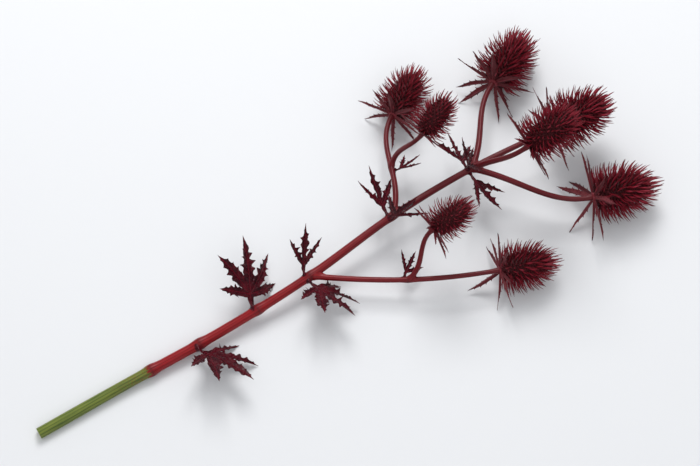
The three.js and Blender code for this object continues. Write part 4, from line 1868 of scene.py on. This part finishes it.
@dataclass
class Studio:
    """A pale floor that curves up far away, soft lamps above it, and a camera that looks down."""

    azimuth: float = 58.0
    elevation: float = 66.0
    distance: float = 1.9
    lens: float = 112.0
    aim: Point = (-0.004, 0.024, 0.037)
    key: Lamp = Lamp("key", at=(-1.15, 0.7, 1.65), size=1.0, power=32.0)
    fill: Lamp = Lamp("fill", at=(1.5, -0.5, 1.8), size=1.4, power=5.0)
    sky: Colour = (0.965, 0.98, 1.0, 1.0)
    sky_strength: float = 0.7
    floor_level: tuple[float, ...] = (0.02, 0.6, 1.5)  # the radii of its level rings
    floor_radius: float = 2.6  # where it starts to bend up
    floor_rise: float = 2.4
    floor_bends: int = 14
    floor_sides: int = 96

    def floor(self, finish: bpy.types.Material) -> bpy.types.Object:
        """Makes the floor: level out to its radius, then bent up as a quarter of a circle.

        Args:
            finish: its material.

        Returns:
            The object.
        """
        bend = np.linspace(0, math.pi / 2, self.floor_bends)
        level = np.array(self.floor_level)
        radius = np.concatenate([level, self.floor_radius + self.floor_rise * np.sin(bend)])
        height = np.concatenate([0 * level, self.floor_rise * (1 - np.cos(bend))])
        points = radius[:, None, None] * outward(turns(self.floor_sides)) + height[:, None, None] * UP
        here = np.arange(self.floor_sides)
        after = (here + 1) % self.floor_sides
        low = np.arange(len(radius) - 1)[:, None] * self.floor_sides
        high = low + self.floor_sides
        faces = np.stack([low + here, high + here, high + after, low + after], -1).reshape(-1, 4)
        mesh = bpy.data.meshes.new("floor")
        mesh.from_pydata(points.reshape(-1, 3).tolist(), [], [*faces.tolist(), here.tolist()])
        mesh.shade_smooth()
        mesh.materials.append(finish)
        return placed("floor", mesh)

    def hang(self, name: str, data: bpy.types.ID, at: Vector, way: Vector) -> bpy.types.Object:
        """Puts a lamp or a camera at its place and turns it.

        Args:
            name: its name.
            data: the light or the camera.
            at: the place.
            way: the way that it looks.

        Returns:
            The object.
        """
        made = placed(name, data)
        made.location = at
        made.rotation_mode = "QUATERNION"
        made.rotation_quaternion = way.to_track_quat("-Z", "Y")
        return made

    def hang_lamp(self, lamp: Lamp) -> None:
        """Hangs a lamp that looks at the stem.

        Args:
            lamp: the lamp.
        """
        light = bpy.data.lights.new(lamp.name, "AREA")
        light.size, light.energy = lamp.size, lamp.power
        self.hang(lamp.name, light, Vector(lamp.at), Vector(self.aim) - Vector(lamp.at))

    def camera(self) -> None:
        """Sets the camera at its distance from the aim, at its azimuth and elevation."""
        turn, rise = math.radians(self.azimuth), math.radians(self.elevation)
        back = Vector((math.sin(turn) * math.cos(rise), -math.cos(turn) * math.cos(rise), math.sin(rise)))
        view = bpy.data.cameras.new("camera")
        view.lens = self.lens
        bpy.context.scene.camera = self.hang("camera", view, Vector(self.aim) + back * self.distance, -back)

    def build(self) -> None:
        """Makes the floor, the sky's even light, the lamps and the camera."""
        self.floor(FloorFinish().make())
        world = bpy.data.worlds.new("studio")
        world.use_nodes = True
        sky = world.node_tree.nodes["Background"].inputs
        sky["Color"].default_value = self.sky
        sky["Strength"].default_value = self.sky_strength
        bpy.context.scene.world = world
        self.hang_lamp(self.key)
        self.hang_lamp(self.fill)
        self.camera()
        bpy.context.scene.view_settings.view_transform = "Standard"


# ------------------------------------------------------------------ the whole stem


@dataclass
class SeaHolly:
    """The whole stem: its stalks, heads and leaves."""

    head_turn: float = 90.0  # degrees: a head's outward direction is as upright as can be
    main_ribs: int = 11
    main_rings: int = 360
    side_ribs: int = 8
    side_rings: int = 130
    stalks: dict[str, Stalk] = field(default_factory=dict)
    heads: dict[str, HeadSize] = field(default_factory=dict)

    def grow(self) -> None:
        """Works out the stalks: the main one, then the side stalks from their carriers."""
        self.stalks["main"] = MainStalk(
            nodes=MAIN_NODES, end=float(len(MAIN_ROUTE) - 1), ribs=self.main_ribs, rings=self.main_rings
        )
        self.heads["main"] = Head.LARGE.value
        for branch in BRANCHES:
            self.heads[branch.name] = branch.head.value
            self.stalks[branch.name] = SideStalk(
                nodes=tuple(fork.at for fork in BRANCHES if fork.carrier == branch.name),
                end=1.0,
                ribs=self.side_ribs,
                rings=self.side_rings,
                carrier=self.stalks[branch.carrier],
                at=branch.at,
                to=branch.to,
                aim=branch.aim,
                head=branch.head.value,
            )

    def keep(self, piece: bpy.types.Object, node: str) -> None:
        """Ties a piece to the frame: it rides on the one body and stands for its node.

        Args:
            piece: the piece.
            node: the part's node.
        """
        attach(piece, "root")
        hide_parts(node)
        log.info("%s: %d faces", piece.name, len(piece.data.polygons))

    def build_stalks(self) -> None:
        """Makes the stalks as one grown piece."""
        skin = Skin()
        for stalk in self.stalks.values():
            stalk.weave(skin)
        self.keep(skin.make("stem_grown", StalkFinish().make()), "stem")

    def build_heads(self) -> None:
        """Makes a cone and a ruff at the end of each stalk."""
        spines, bracts = SpineFinish().make(), BractFinish().make()
        for number, (name, stalk) in enumerate(self.stalks.items()):
            end = np.array(stalk.end)
            place = Placement.on(stalk.point(end), stalk.direction(end), self.head_turn)
            cone = Cone(self.heads[name], place, number)
            self.keep(cone.build(spines, f"cone_{name}_dyed"), f"cone_{name}")
            ruff = Ruff(self.heads[name], place, number)
            self.keep(ruff.build(bracts, f"ruff_{name}_dyed"), f"ruff_{name}")

    def build_leaves(self) -> None:
        """Makes the leaves, each clasping its stalk at a node."""
        finish = LeafFinish().make()
        for number, sprout in enumerate(SPROUTS):
            leaf = LeafBlade(sprout, self.stalks[sprout.stalk], number)
            self.keep(leaf.build(finish, f"{sprout.name}_dyed"), sprout.name)


def main() -> None:
    """Builds the stem and the studio."""
    logging.basicConfig(level=logging.INFO, format="%(name)s: %(message)s")
    plant = SeaHolly()
    plant.grow()
    plant.build_stalks()
    plant.build_heads()
    plant.build_leaves()
    Studio().build()


if __name__ == "__main__":
    main()
